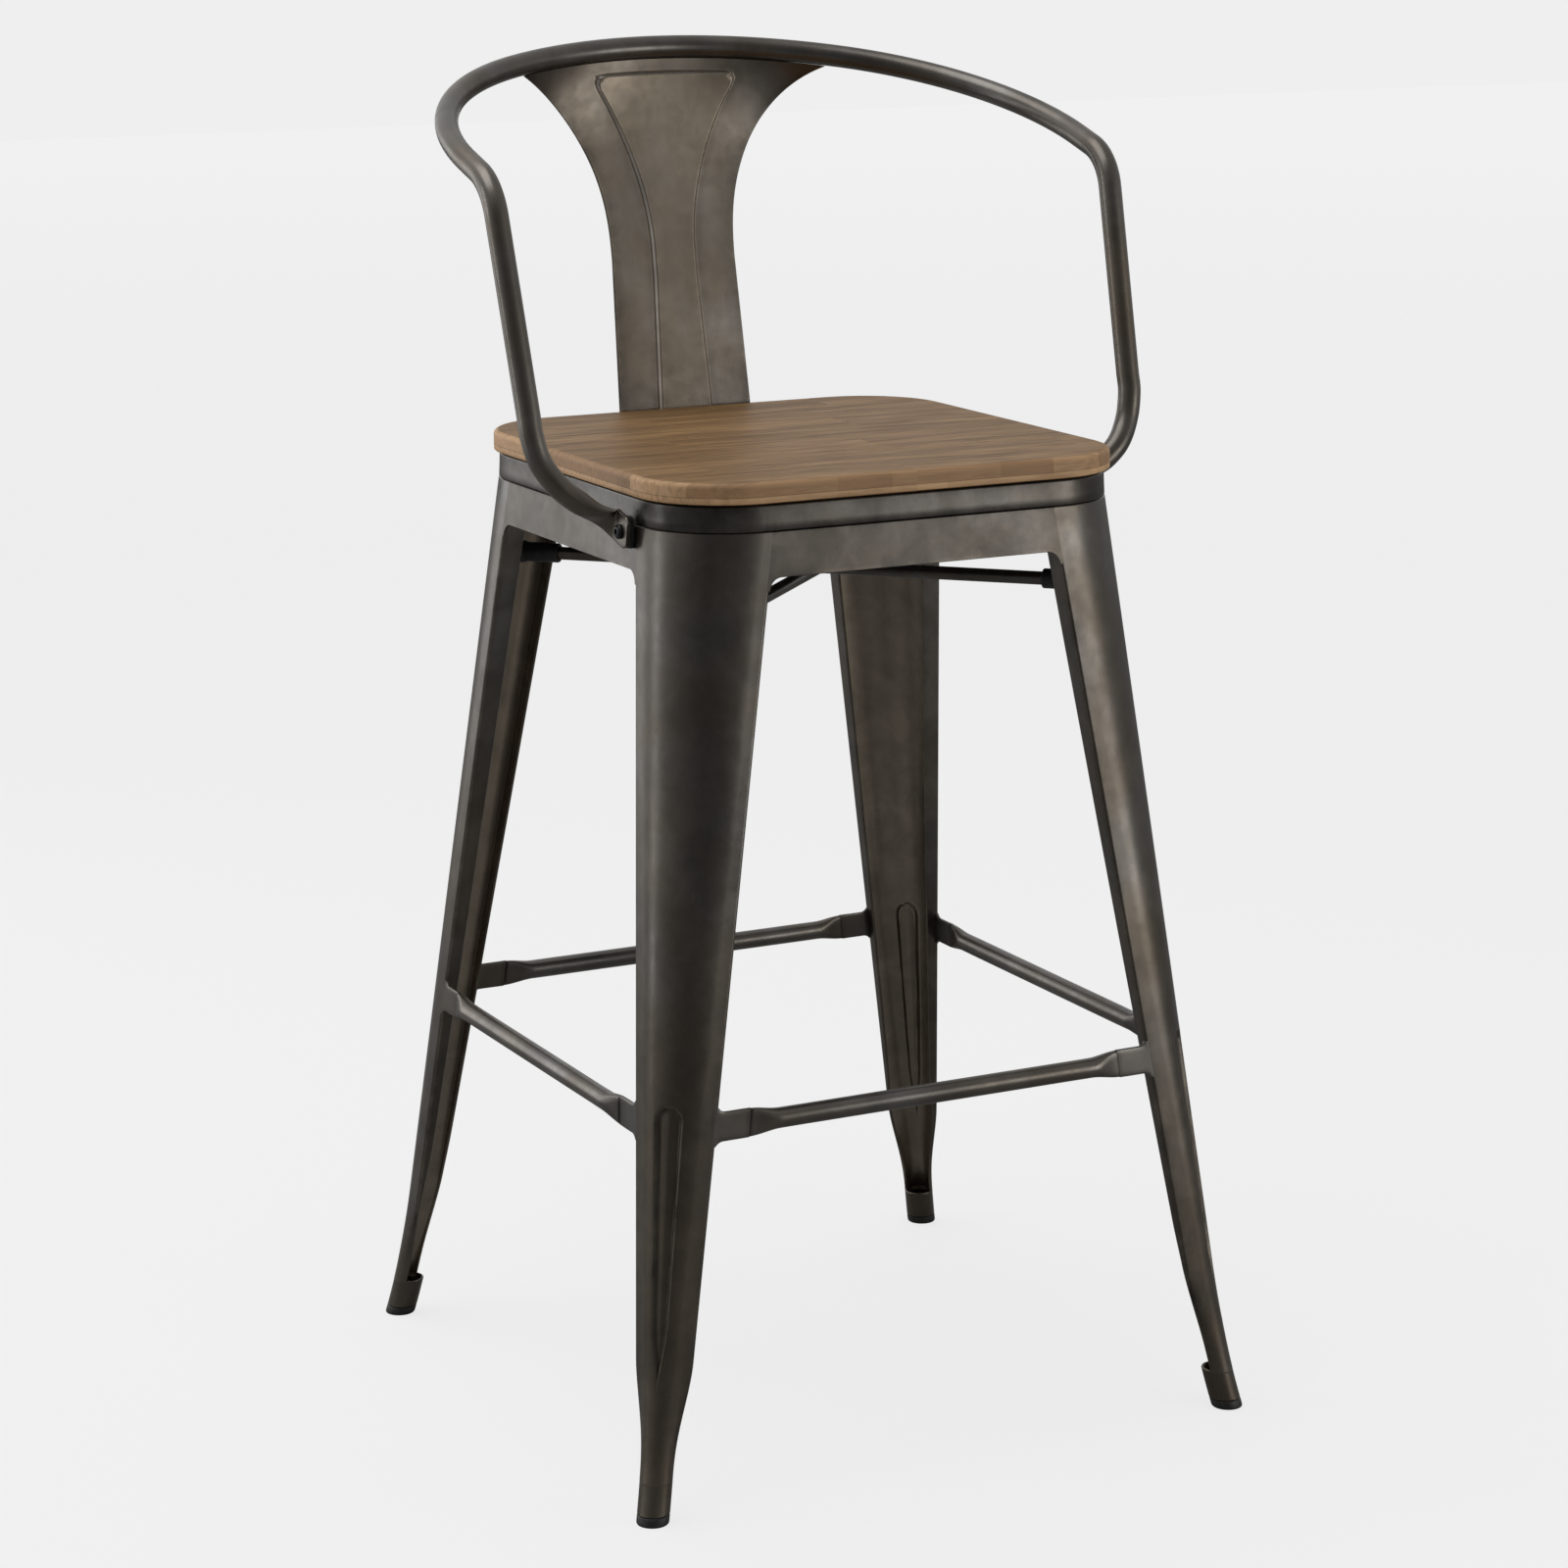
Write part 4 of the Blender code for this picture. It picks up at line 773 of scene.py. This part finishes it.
# A pale line just above the lower edge: wear, and a painted highlight.
wear_and_highlight_face = 0.7 * np.exp(-((z - z_low - 0.0006) / 0.0008) ** 2) * (np.abs(u) < edge_at_tip - 0.001)
for side in SIDES:
    outer_face, inner_face = quarter_turned(outer, side), quarter_turned(inner, side)
    apron = sheet_body("apron_plate_" + side, outer_face, inner_face, bulge=0.3)
    rim = len(apron.data.vertices) - 2 * fold_face.size
    # Painted shade: the front apron is darker still.
    apron_fold_and_shade = np.clip(fold_face + (0.16 if side == "front" else 0.0), 0, 1)
    fold = np.concatenate([apron_fold_and_shade.ravel(), 0.3 + 0 * fold_face.ravel(), np.full(rim, 0.6)])
    warm = np.concatenate([np.full(fold_face.size, 0.55), np.full(fold_face.size, 1.0), np.full(rim, 0.5)])
    # The inner faces are paler: painted light.
    pale = np.concatenate([wear_and_highlight_face.ravel(), np.full(fold_face.size, 0.4), np.full(rim, 0.5)])
    dress(apron, PANEL_STEEL, "gunmetal_steel", "apron_" + side, fold=fold, warm=warm, pale=pale)
print("aprons:", len(apron.data.polygons), "faces each")

# %% [markdown]
# ## The rungs
#
# Each footrest rung is a tube whose ends are pressed into flat bars. The bar starts at a
# sharp crease, swells slightly where it is welded to the leg's flange, and feathers out over
# the bend. A ring is a circle squeezed towards a rectangle: its points are cosine and sine,
# each raised to a power below one as it gets flatter.

# %% Squeezed rings
def squeezed(centre, thin, tall, half_thin, half_tall, power, sides):
    """Point = centre + thin * a * sign(cos) |cos|^p + tall * b * sign(sin) |sin|^p, for every
    station at once."""
    angle = 2 * pi * np.arange(sides) / sides
    c, s = np.cos(angle)[None, :], np.sin(angle)[None, :]
    p = np.asarray(power, float)[:, None]
    c = np.sign(c) * np.abs(np.where(np.abs(c) < 1e-9, 0, c)) ** p
    s = np.sign(s) * np.abs(np.where(np.abs(s) < 1e-9, 0, s)) ** p
    a, b = np.asarray(half_thin)[:, None] * c, np.asarray(half_tall)[:, None] * s
    return centre[:, None, :] + a[..., None] * thin[:, None, :] + b[..., None] * tall[:, None, :]


# %% Four rungs
RUNG_R, BAR_THIN, BAR_TALL = 0.0155 / 2, 0.0016, 0.011
rung_edge = float(leg_edge(RUNG_Z))
back = np.concatenate([
    -BEND * np.linspace(1, 0.05, 7), np.linspace(0, 0.0065, 10), np.linspace(0.009, 0.0262, 5),
    [0.0268, 0.0272, 0.0278], np.linspace(0.029, 0.052, 22), np.linspace(0.056, rung_edge, 12),
])
flat = 1 - ease(0.0268, 0.0278, back) * 0.16 - 0.84 * ease(0.0272, 0.052, back)
swell = 0.0034 * np.clip(1 - np.maximum(back, 0) / 0.0065, 0, 1) ** 2.4
dip = bend_dip(rung_edge - back, rung_edge)
half_thin = np.where(back < 0, np.maximum(dip, 0.00006) / 2, BAR_THIN + (RUNG_R - BAR_THIN) * (1 - flat))
half_tall = BAR_TALL + (RUNG_R - BAR_TALL) * (1 - flat) + swell
power = 1 - 0.68 * np.clip(flat, 0, 1)
x = np.concatenate([rung_edge - back, -(rung_edge - back)[-2::-1]])
half_thin, half_tall, power = (np.concatenate([v, v[-2::-1]]) for v in (half_thin, half_tall, power))
near_bar = np.concatenate([flat, flat[-2::-1]])
offset = np.where(np.abs(x) > rung_edge, half_thin, BAR_THIN)
centre = np.stack([x, -(leg_half(RUNG_Z) - offset), np.full(len(x), RUNG_Z)], -1)
thin, tall = np.array([[0.0, -1, 0]]).repeat(len(x), 0), np.array([[0.0, 0, 1]]).repeat(len(x), 0)
rings = squeezed(centre, thin, tall, half_thin, half_tall, power, 40)
lean = rings[..., 2] - RUNG_Z
at_end = np.clip((np.abs(x) - 0.12) / 0.05, 0, 1)[:, None]
rings[..., 0] += np.sign(x)[:, None] * at_end * (leg_edge(rings[..., 2]) - rung_edge)
rings[..., 1] += at_end * LEG_SLOPE * lean
crease = np.exp(-((np.abs(x) - (rung_edge - 0.0275)) / 0.0016) ** 2)
fold = np.clip(0.75 * crease + 0.22 * near_bar, 0, 1)[:, None] + 0 * rings[..., 0]
for side in SIDES:
    rung = ring_body("rung_tube_" + side, quarter_turned(rings, side), crease=32)
    marks = np.append(fold.ravel(), [0.5, 0.5])
    dress(rung, TUBE_STEEL, "gunmetal_steel", "rung_" + side, fold=marks, warm=0.3 + 0 * marks)
print("rungs:", len(rung.data.polygons), "faces each")

# %% [markdown]
# ## The hoop
#
# One tube makes both arms and the back. From the bolt it rises as a flattened lug, swells
# into tube, sweeps out and up along the post, bends into the arm, and follows a wide bow
# round the back. The bow lies in one sloping plane, where it is a big arc with a smaller arc
# at each side. The path is worked out for one side and mirrored.

# %% The bow's plane
REACH, BOW_TOP, TILT = 0.240, SEAT_TOP + 0.291, radians(17.06)
BACK_R, CORNER_R, ARM_X = 0.3205, 0.2206, 0.5304 / 2
ARM_FRONT, LEAN, SPLAY = -0.026, radians(15.3), radians(2.2)
TUBE_R = 0.009


def bow_point(x, back):
    """x sideways, and `back` along the sloping plane, in front of the rearmost point."""
    x, back = np.broadcast_arrays(np.asarray(x, float), np.asarray(back, float))
    return np.stack([x, REACH - back * cos(TILT), BOW_TOP - back * sin(TILT)], -1)


def bow_sag(x):
    """How far the big arc has come forward at x: R - sqrt(R^2 - x^2)."""
    return BACK_R - np.sqrt(BACK_R**2 - x * x)


def post_point(z):
    """The post's straight line, which leans back and splays outwards as it rises."""
    drop = BOW_TOP + (ARM_FRONT - REACH) * tan(TILT) - z
    return np.array([ARM_X - drop * tan(SPLAY), ARM_FRONT - drop * tan(LEAN), z])


# %% Smooth corners and curves
def arc_corner(before, corner, after, radius, steps):
    """The arc that rounds a corner: its centre is on the bisector, radius / sin(half the angle) away."""
    a, b = unit(before - corner), unit(after - corner)
    half = np.arccos(np.clip(a @ b, -1, 1)) / 2
    centre = corner + unit(a + b) * radius / np.sin(half)
    start, end = corner + a * radius / np.tan(half) - centre, corner + b * radius / np.tan(half) - centre
    swing = np.arccos(np.clip(unit(start) @ unit(end), -1, 1))
    t = np.linspace(0, 1, steps + 1)[:, None]
    return centre + (start * np.sin(swing * (1 - t)) + end * np.sin(swing * t)) / np.sin(swing)


def catmull(points, steps):
    """A Catmull-Rom curve: on each stretch a cubic through its two ends, level with their neighbours."""
    p = np.concatenate([[2 * points[0] - points[1]], points, [2 * points[-1] - points[-2]]])
    p0, p1, p2, p3 = (p[i:len(p) - 3 + i, None, :] for i in range(4))
    t = np.arange(steps)[None, :, None] / steps
    curve = 2 * p1 + (p2 - p0) * t + (2 * p0 - 5 * p1 + 4 * p2 - p3) * t**2
    curve = curve + (3 * p1 - p0 - 3 * p2 + p3) * t**3
    return curve.reshape(-1, 3) / 2


# %% The path on one side
LUG_Z, LUG_THICK, LUG_TALL = SEAT_TOP - 0.043, 0.0034, 0.0255
bolt_y = (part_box("hoop_bolt_left")[0].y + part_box("hoop_bolt_left")[1].y) / 2
LUG_FRONT, LUG_LENGTH = bolt_y - 0.0112, 0.0215
lug_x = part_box("hoop_pad_right")[1].x + 0.0003 + LUG_THICK / 2
foot = post_point(SEAT_TOP + 0.042)
out, lug_back = foot[0] - lug_x, LUG_FRONT + LUG_LENGTH
controls = np.array([
    [lug_x, LUG_FRONT, LUG_Z - 0.001], [lug_x, LUG_FRONT + 0.005, LUG_Z],
    [lug_x, LUG_FRONT + 0.013, LUG_Z + 0.0018], [lug_x, lug_back, LUG_Z + 0.0042],
    [lug_x + 0.10 * out, lug_back + 0.005, LUG_Z + 0.0083],
    [lug_x + 0.34 * out, lug_back + 0.009, LUG_Z + 0.0165],
    [lug_x + 0.68 * out, lug_back + 0.0125, LUG_Z + 0.0315],
    [lug_x + 0.90 * out, lug_back + 0.0195, LUG_Z + 0.050],
    foot + (post_point(SEAT_TOP) - foot) * 0.35, foot,
])
swing = asin((ARM_X - CORNER_R) / (BACK_R - CORNER_R))
centre_back = BACK_R - (BACK_R - CORNER_R) * cos(swing)
arm_corner = post_point(BOW_TOP + (ARM_FRONT - REACH) * tan(TILT))
bend = arc_corner(foot, arm_corner, bow_point(ARM_X, centre_back), 0.045, 18)
turn = np.linspace(pi / 2, swing, 40)
corner_arc = bow_point(ARM_X - CORNER_R + CORNER_R * np.sin(turn), centre_back - CORNER_R * np.cos(turn))
x_back = BACK_R * np.sin(swing * np.linspace(1, 0, 22)[1:])
post_run = foot + (bend[0] - foot) * np.linspace(0, 1, 9)[:-1, None]
arm_run = bend[-1] + (corner_arc[0] - bend[-1]) * np.linspace(0, 1, 14)[1:-1, None]
rear_arc = bow_point(x_back, bow_sag(x_back))
path = np.concatenate([catmull(controls, 7), post_run, bend, arm_run, corner_arc, rear_arc])
print("hoop path:", len(path), "stations on a side")

# %% Rings along the path
along = unit(np.gradient(path, axis=0))
along[-1] = [-1, 0, 0]
gone = np.concatenate([[0], np.cumsum(np.linalg.norm(np.diff(path, axis=0), axis=1))])
bow_normal = np.array([0, -sin(TILT), cos(TILT)])
turn_over = ease(-0.01, 0.08, path[:, 1])[:, None] * (gone > 0.15)[:, None]
guide = unit((1 - turn_over) * np.array([1.0, 0, 0]) + turn_over * bow_normal)
thin = unit(guide - np.einsum("ij,ij->i", guide, along)[:, None] * along)
tall = np.cross(thin, along)
flat = 1 - ease(LUG_LENGTH, LUG_LENGTH + 0.036, gone)
nose = 1 - 0.30 * np.clip(1 - gone / 0.008, 0, 1) ** 2.2
half_thin = TUBE_R + (LUG_THICK / 2 - TUBE_R) * flat
half_tall = (TUBE_R + (LUG_TALL / 2 - TUBE_R) * flat) * nose
rings = squeezed(path, thin, tall, half_thin, half_tall, 1 - 0.68 * flat, 32)
rings[-1, :, 0] = 0
mirrored = (rings * np.array([-1, 1, 1]))[-2::-1]
both = np.concatenate([rings, mirrored])
hoop = ring_body("hoop_tube", both, crease=36)
crease = 0.30 * np.exp(-((gone - LUG_LENGTH - 0.004) / 0.008) ** 2)
# Darker along the bow, past about half a metre of tube: painted shade.
crease = crease + 0.15 * flat + 0.22 * ease(0.42, 0.6, gone)
fold = np.concatenate([crease, crease[-2::-1]])[:, None] + 0 * both[..., 0]
browner = 0.45 - 0.25 * ease(0.3, 0.5, gone)
warm = np.concatenate([browner, browner[-2::-1]])[:, None] + 0 * both[..., 0]
fold, warm = np.append(fold.ravel(), [0.5, 0.5]), np.append(warm.ravel(), [0.4, 0.4])
dress(hoop, TUBE_STEEL, "gunmetal_steel", "back_hoop", fold=fold, warm=warm)
print("hoop:", len(hoop.data.polygons), "faces, tube", 2 * TUBE_R)

# %% [markdown]
# ## The splat
#
# The splat is one sheet. Below it is plain and straight behind the pan, above it flares as a
# power of the height and curls to follow the bow. A panel stands 3 mm proud of it towards the
# sitter. Like the tombstone, the panel is a height that depends on the distance inside its
# outline, which has rounded upper corners. The grid's columns crowd together along the
# panel's wall and follow it, so that the wall comes out smooth.

# %% Outlines and depth
WAIST_Z = SEAT_TOP + 0.120
HANG = 0.291 - TUBE_R - 0.0006
SPLAT_HIGH = SEAT_TOP + HANG
PROUD = 0.003


def splat_half(z):
    """Half the width: widening gently below the waist, and by the 2.5th power of height above it."""
    over = np.maximum(z - WAIST_Z, 0) / (HANG - 0.120 + 0.0006)
    return 0.055 + 0.033 * np.maximum(WAIST_Z - z, 0) + 0.081 * over**2.5


def panel_half(z):
    """Half the raised panel's width: nearly upright below, growing as the 1.9th power of height above."""
    return 0.0205 + 0.042 * np.maximum(0.87 - z, 0) + 2.0 * np.maximum(z - 0.895, 0) ** 1.9


def splat_depth(z):
    """The sheet behind the centre plane: leaning with the apron, stepping out past the wood, then
    rising in a slope with a slight curl forward."""
    sheet = 0.0003 + SHEET / 2
    clear = SEAT_HALF + PROUD + sheet
    step = np.clip((z - SEAM) / (WOOD_BOTTOM - SHEET - SEAM), 0, 1)
    lower = leg_half(np.minimum(z, SEAM)) + sheet
    rise, straight = np.maximum(z - SEAT_TOP, 0), 0.135
    curl, whole = 0.33 * np.maximum(rise - straight, 0) ** 2, 0.33 * (HANG - straight) ** 2
    upper = clear + (REACH - clear + whole) * rise / HANG - curl
    return np.where(z < WOOD_BOTTOM - SHEET, lower + (clear - lower) * ease(0, 1, step), upper)


# %% The sheet
corner_r, panel_top = 0.014, SPLAT_HIGH - 0.0095
z = np.unique(np.concatenate([
    np.linspace(0.700, 0.765, 28), np.linspace(0.765, 0.99, 76), np.linspace(0.99, SPLAT_HIGH, 46),
    np.linspace(panel_top - 0.005, panel_top + 0.002, 12),
]))[:, None]
side, wall = splat_half(z), panel_half(z)
crowd_from, crowd_width = wall - 0.0055, 0.0075
spread, crowded = np.linspace(0, 1, 19)[None, :], np.linspace(0, 1, 26)[None, 1:]
outer_part = wall + 0.0020 + (side - wall - 0.0020) * spread[:, 1:]
half_x = np.concatenate([crowd_from * spread, crowd_from + crowd_width * crowded, outer_part], axis=1)
x = np.concatenate([-half_x[:, :0:-1], half_x], axis=1)
q_side, q_top = corner_r - (wall - np.abs(x)), corner_r - (panel_top - z)
inside = corner_r - np.hypot(np.maximum(q_side, 0), np.maximum(q_top, 0))
raised = PROUD * ease(0.0, 0.0032, inside) * ease(SEAM - 0.004, SEAM + 0.010, z)
wrap = np.clip((z - SEAT_TOP - 0.210) / (HANG - 0.210), 0, 1)
sag = bow_sag(x)
y = splat_depth(z) - wrap**1.5 * sag * cos(TILT)
height = z - wrap**2 * sag * sin(TILT)
front = np.stack([x, y - raised - SHEET / 2, height + 0 * x], -1)
rear = np.stack([x, y - raised + SHEET / 2, height + 0 * x], -1)
splat = sheet_body("splat_sheet", front, rear, bulge=0.45)
rim = len(splat.data.vertices) - 2 * x.size
border = np.exp(-(side - np.abs(x)) / 0.008) + 0.30 * np.exp(-(SPLAT_HIGH - z) / 0.010)
# Painted shade in a band just outside the panel's wall.
step_shade = 0.30 * np.exp(-((inside + 0.0025) / 0.0030) ** 2)
# A painted highlight along the panel's wall, mostly on the front.
wall_highlight = 0.95 * np.exp(-((inside - 0.0017) / 0.0014) ** 2) * (z > SEAT_TOP - 0.02)
# Paler along the side edges: wear, and a painted highlight.
wear_and_highlight_face = 0.09 + wall_highlight + 0.5 * np.exp(-(side - np.abs(x)) / 0.0012)
fold_face = np.clip(0.85 * border + step_shade + 0.35 * np.exp(-(z - 0.765).clip(0) / 0.012), 0, 1)
warm_face = 0.55 + 0.35 * ease(-0.004, 0.006, inside) + 0 * x
fold = np.concatenate([fold_face.ravel(), fold_face.ravel(), np.full(rim, 0.8)])
warm = np.concatenate([warm_face.ravel(), warm_face.ravel(), np.full(rim, 0.5)])
pale = np.concatenate([wear_and_highlight_face.ravel(), 0.3 * wear_and_highlight_face.ravel(), np.full(rim, 0.6)])
dress(splat, PANEL_STEEL, "gunmetal_steel", "back_splat", fold=fold, warm=warm, pale=pale)
print("splat:", len(splat.data.polygons), "faces")

# %% [markdown]
# ## Braces and sleeves
#
# Two rods cross under the seat, one over the other. Near each leg a moulded sleeve with a
# collar covers the rod. A sleeve's last circle joins its first, which makes it a tube.

# %% Rods with their sleeves
ROD_R = 0.0105 / 2
for rod_name, sign in (("brace_upper", -1), ("brace_lower", 1)):
    low, high = (np.array(corner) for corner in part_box(rod_name))
    z = (low[2] + high[2]) / 2
    axis = np.array([1, sign, 0]) / sqrt(2)
    reach = (high[0] - low[0]) / sqrt(2) - ROD_R
    profile = [(0.0022, -reach), (0.0045, -reach + 0.0003), (ROD_R, -reach + 0.0011)]
    profile += [(ROD_R, h) for h in np.linspace(-reach + 0.004, reach - 0.004, 24)]
    profile += [(ROD_R, reach - 0.0011), (0.0045, reach - 0.0003), (0.0022, reach)]
    rod = ring_body(rod_name + "_rod", aimed(turned_rings(profile, 28), (0, 0, z), axis), crease=50)
    count = len(rod.data.vertices)
    dress(rod, TUBE_STEEL, "gunmetal_steel", rod_name, fold=np.full(count, 0.35), warm=np.full(count, 0.5))
    for end, way in (("left", -1), ("right", 1)):
        node = rod_name + "_sleeve_" + end
        low, high = (np.array(corner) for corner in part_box(node))
        middle = (low + high) / 2
        bore, body, collar_r = 0.0056, 0.0078, 0.0089
        outline = [(bore, -0.0187), (bore + 0.0008, -0.0190), (body - 0.0012, -0.0190)]
        outline += [(body - 0.0004, -0.0186), (body, -0.0178), (body, 0.0098), (body + 0.0003, 0.0104)]
        outline += [(collar_r - 0.0003, 0.0106), (collar_r, 0.0110), (collar_r, 0.0180)]
        outline += [(collar_r - 0.0006, 0.0188), (bore + 0.0010, 0.0190), (bore, 0.0187), (bore, 0.0)]
        rings = aimed(turned_rings(outline, 32), middle, axis * way)
        quads = np.mod(grid_quads(len(rings) + 1, 32, around=True), len(rings) * 32)
        sleeve = closed_mesh(node + "_moulded", rings.reshape(-1, 3), quads, crease=45)
        dress(sleeve, PLASTIC, "black_plastic", node)
print("braces: 2 rods, 4 sleeves")

# %% [markdown]
# ## Pads, bolts and the hidden fasteners
#
# The lugs stand off the frame on black pads, whose edges also stand in for the shade at each
# lug's front end: a painted shadow. Each bolt has a domed head with a hexagonal socket. Nuts
# and seat screws are under the seat, where the imported solids are fine enough, so those only
# get a finish.

# %% Pads
for side in ("left", "right"):
    low, high = (np.array(corner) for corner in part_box("hoop_pad_" + side))
    low[1], half_height = LUG_FRONT + 0.0006, LUG_TALL / 2 - 0.0006
    low[2], high[2] = LUG_Z - half_height, LUG_Z + half_height
    high[1] = min(high[1], LUG_FRONT + LUG_LENGTH)
    middle, size = (low + high) / 2, (high - low) / 2
    inset = np.array([0.0006, 0.0, 0.0, 0.0006])
    depth = np.array([-size[0], -size[0] + 0.0005, size[0] - 0.0005, size[0]])
    angle = 2 * pi * np.arange(64) / 64
    c, s = np.cos(angle), np.sin(angle)
    around_y = np.sign(c) * np.abs(c) ** 0.5 * (size[1] - inset)[:, None]
    around_z = np.sign(s) * np.abs(s) ** 0.5 * (size[2] - inset)[:, None]
    rings = middle + np.stack([depth[:, None] + 0 * around_y, around_y, around_z], -1)
    # The pad's edge shows as a black band at the lug's front end: part spacer, part painted shadow.
    pad = ring_body("pad_" + side, rings, crease=50)
    dress(pad, PLASTIC, "black_plastic", "hoop_pad_" + side)
print("pads: 2")

# %% Bolts
dome = np.linspace(0, pi / 2, 7)
head = [(0.0012, 0.0011), (0.00222, 0.0012), (0.00225, 0.0014), (0.00225, 0.0030), (0.00245, 0.0033)]
head += [(0.0026 + 0.0029 * sin(a), 0.0010 + 0.0023 * cos(a)) for a in dome]
head += [(0.0055, 0.0003), (0.0052, 0.0), (0.0030, 0.0)]
ways_out = {
    "hoop_bolt_left": (-1, 0, 0), "hoop_bolt_right": (1, 0, 0),
    "splat_bolt_left": (0, 1, 0), "splat_bolt_right": (0, 1, 0),
}
for node, outward in ways_out.items():
    low, high = (np.array(corner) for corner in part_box(node))
    outward = np.array(outward, float)
    length = float(np.abs((high - low) @ outward))
    under_head = (low + high) / 2 + outward * (length / 2 - 0.0034)
    shank = [(0.0030, -h) for h in np.linspace(0.0004, length - 0.0044, 4)] + [(0.0024, -(length - 0.0034))]
    rings = aimed(turned_rings(head + shank, 48, hexagonal=(0, 1, 2, 3, 4)), under_head, outward)
    bolt = ring_body(node + "_turned", rings, crease=40)
    dress(bolt, OXIDE, "black_oxide_steel", node)
print("bolts: 4, with", len(bolt.data.polygons), "faces each")

# %% Finish the solids that stay
for name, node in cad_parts.items():
    if name.startswith(("hoop_nut", "splat_nut", "seat_screw")):
        node.data.materials.clear()
        node.data.materials.append(OXIDE)
print("kept solids:", sum(not o.hide_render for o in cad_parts.values()))

# %% [markdown]
# ## Camera, floor and light
#
# The camera stands low and to the stool's right-hand side, with a long lens, so that upright
# lines stay nearly upright. The room is a pale sweep, dark behind the camera, because bare steel
# shows what it faces. A soft light hangs overhead, one stands behind to the left, one stands in
# front to the right, and a long strip beside the left legs draws their highlight. Where the
# camera sees the floor directly it glows, a little more further away, so that its tone runs
# on into the room's.

# %% Camera
camera_data = bpy.data.cameras.new("camera")
camera_data.lens, camera_data.sensor_width = 93.77, 36.0
camera_data.clip_end = 60
camera = bpy.data.objects.new("camera", camera_data)
bpy.context.scene.collection.objects.link(camera)
turn, nod, roll = radians(-26.859), radians(90 - 13.056), radians(-0.28)
aim = Matrix.Rotation(turn, 4, "Z") @ Matrix.Rotation(nod, 4, "X") @ Matrix.Rotation(roll, 4, "Z")
camera.matrix_world = Matrix.Translation((-1.4466, -2.8319, 1.2228)) @ aim
bpy.context.scene.camera = camera
print("camera:", tuple(round(v, 3) for v in camera.location))

# %% Floor
floor_mesh = bpy.data.meshes.new("floor")
floor_mesh.from_pydata([(-14, -14, 0), (14, -14, 0), (14, 14, 0), (-14, 14, 0)], [], [(0, 1, 2, 3)])
floor = bpy.data.objects.new("floor", floor_mesh)
bpy.context.scene.collection.objects.link(floor)
material, tree, shader, place = new_finish("pale floor")
tone = noise(tree, place, 1.3, 2.0)
grey = mixed(tree, tone, (0.29, 0.29, 0.29), (0.31, 0.31, 0.31))
seen = add(tree, "ShaderNodeLightPath").outputs["Is Camera Ray"]
tree.links.new(mixed(tree, seen, grey, (0.14, 0.14, 0.14)), shader.inputs["Base Color"])
away = add(tree, "ShaderNodeVectorMath", {0: place}, operation="LENGTH").outputs["Value"]
glow = remap(tree, away, 0.0, 14.0, 0.759, 0.808)
tree.links.new(maths(tree, "MULTIPLY", seen, glow), shader.inputs["Emission Strength"])
shader.inputs["Emission Color"].default_value = (1, 1, 1, 1)
shader.inputs["Roughness"].default_value = 1.0
shader.inputs["Specular IOR Level"].default_value = 0.0
floor.data.materials.append(material)
print("floor: 28 m square")

# %% Soft lights
def soft_light(name, place, target, width, height, watts, colour=(1, 1, 1)):
    """A rectangular lamp at `place`, facing `target`."""
    data = bpy.data.lights.new(name, "AREA")
    data.shape, data.size, data.size_y = "RECTANGLE", width, height
    data.energy, data.color = watts, colour
    lamp = bpy.data.objects.new(name, data)
    facing = (Vector(place) - Vector(target)).to_track_quat("Z", "Y").to_matrix().to_4x4()
    lamp.matrix_world = Matrix.Translation(place) @ facing
    bpy.context.scene.collection.objects.link(lamp)


soft_light("overhead softbox", (-0.6, 0.2, 2.9), (0, 0, 0.6), 1.8, 1.8, 22)
soft_light("back left softbox", (-1.45, 2.15, 0.80), (-0.2, 0, 0.62), 1.2, 1.5, 7, (0.98, 0.99, 1.0))
soft_light("right front softbox", (1.60, -2.00, 0.72), (0.1, 0, 0.75), 1.05, 1.2, 12.5, (1.0, 0.99, 0.96))
soft_light("left strip", (-2.4, 0.9, 1.0), (0, 0, 0.65), 0.3, 1.7, 6, (0.94, 0.97, 1.0))

# %% The room
world = bpy.data.worlds.new("pale room")
world.use_nodes = True
bpy.context.scene.world = world
tree = world.node_tree
way = add(tree, "ShaderNodeTexCoord").outputs["Generated"]
x, y, z = add(tree, "ShaderNodeSeparateXYZ", {0: way}).outputs
towards = maths(tree, "ADD", maths(tree, "MULTIPLY", x, -0.455), maths(tree, "MULTIPLY", y, -0.890))
darker_front = remap(tree, towards, 0.97, -0.10, 0.13, 1.0)
from_left = remap(tree, x, -0.2, 0.9, 1.0, 0.55)
from_above = remap(tree, z, -0.1, 0.8, 0.95, 0.70)
room = maths(tree, "MULTIPLY", maths(tree, "MULTIPLY", from_left, darker_front), from_above)
seen = add(tree, "ShaderNodeLightPath").outputs["Is Camera Ray"]
strength = add(tree, "ShaderNodeMix", {0: seen, 2: room, 3: 0.863}, data_type="FLOAT").outputs[0]
background = tree.nodes["Background"]
background.inputs["Color"].default_value = (1, 1, 1, 1)
tree.links.new(strength, background.inputs["Strength"])
bpy.context.scene.view_settings.view_transform = "Standard"
print("room: pale, lighter from the left and above")
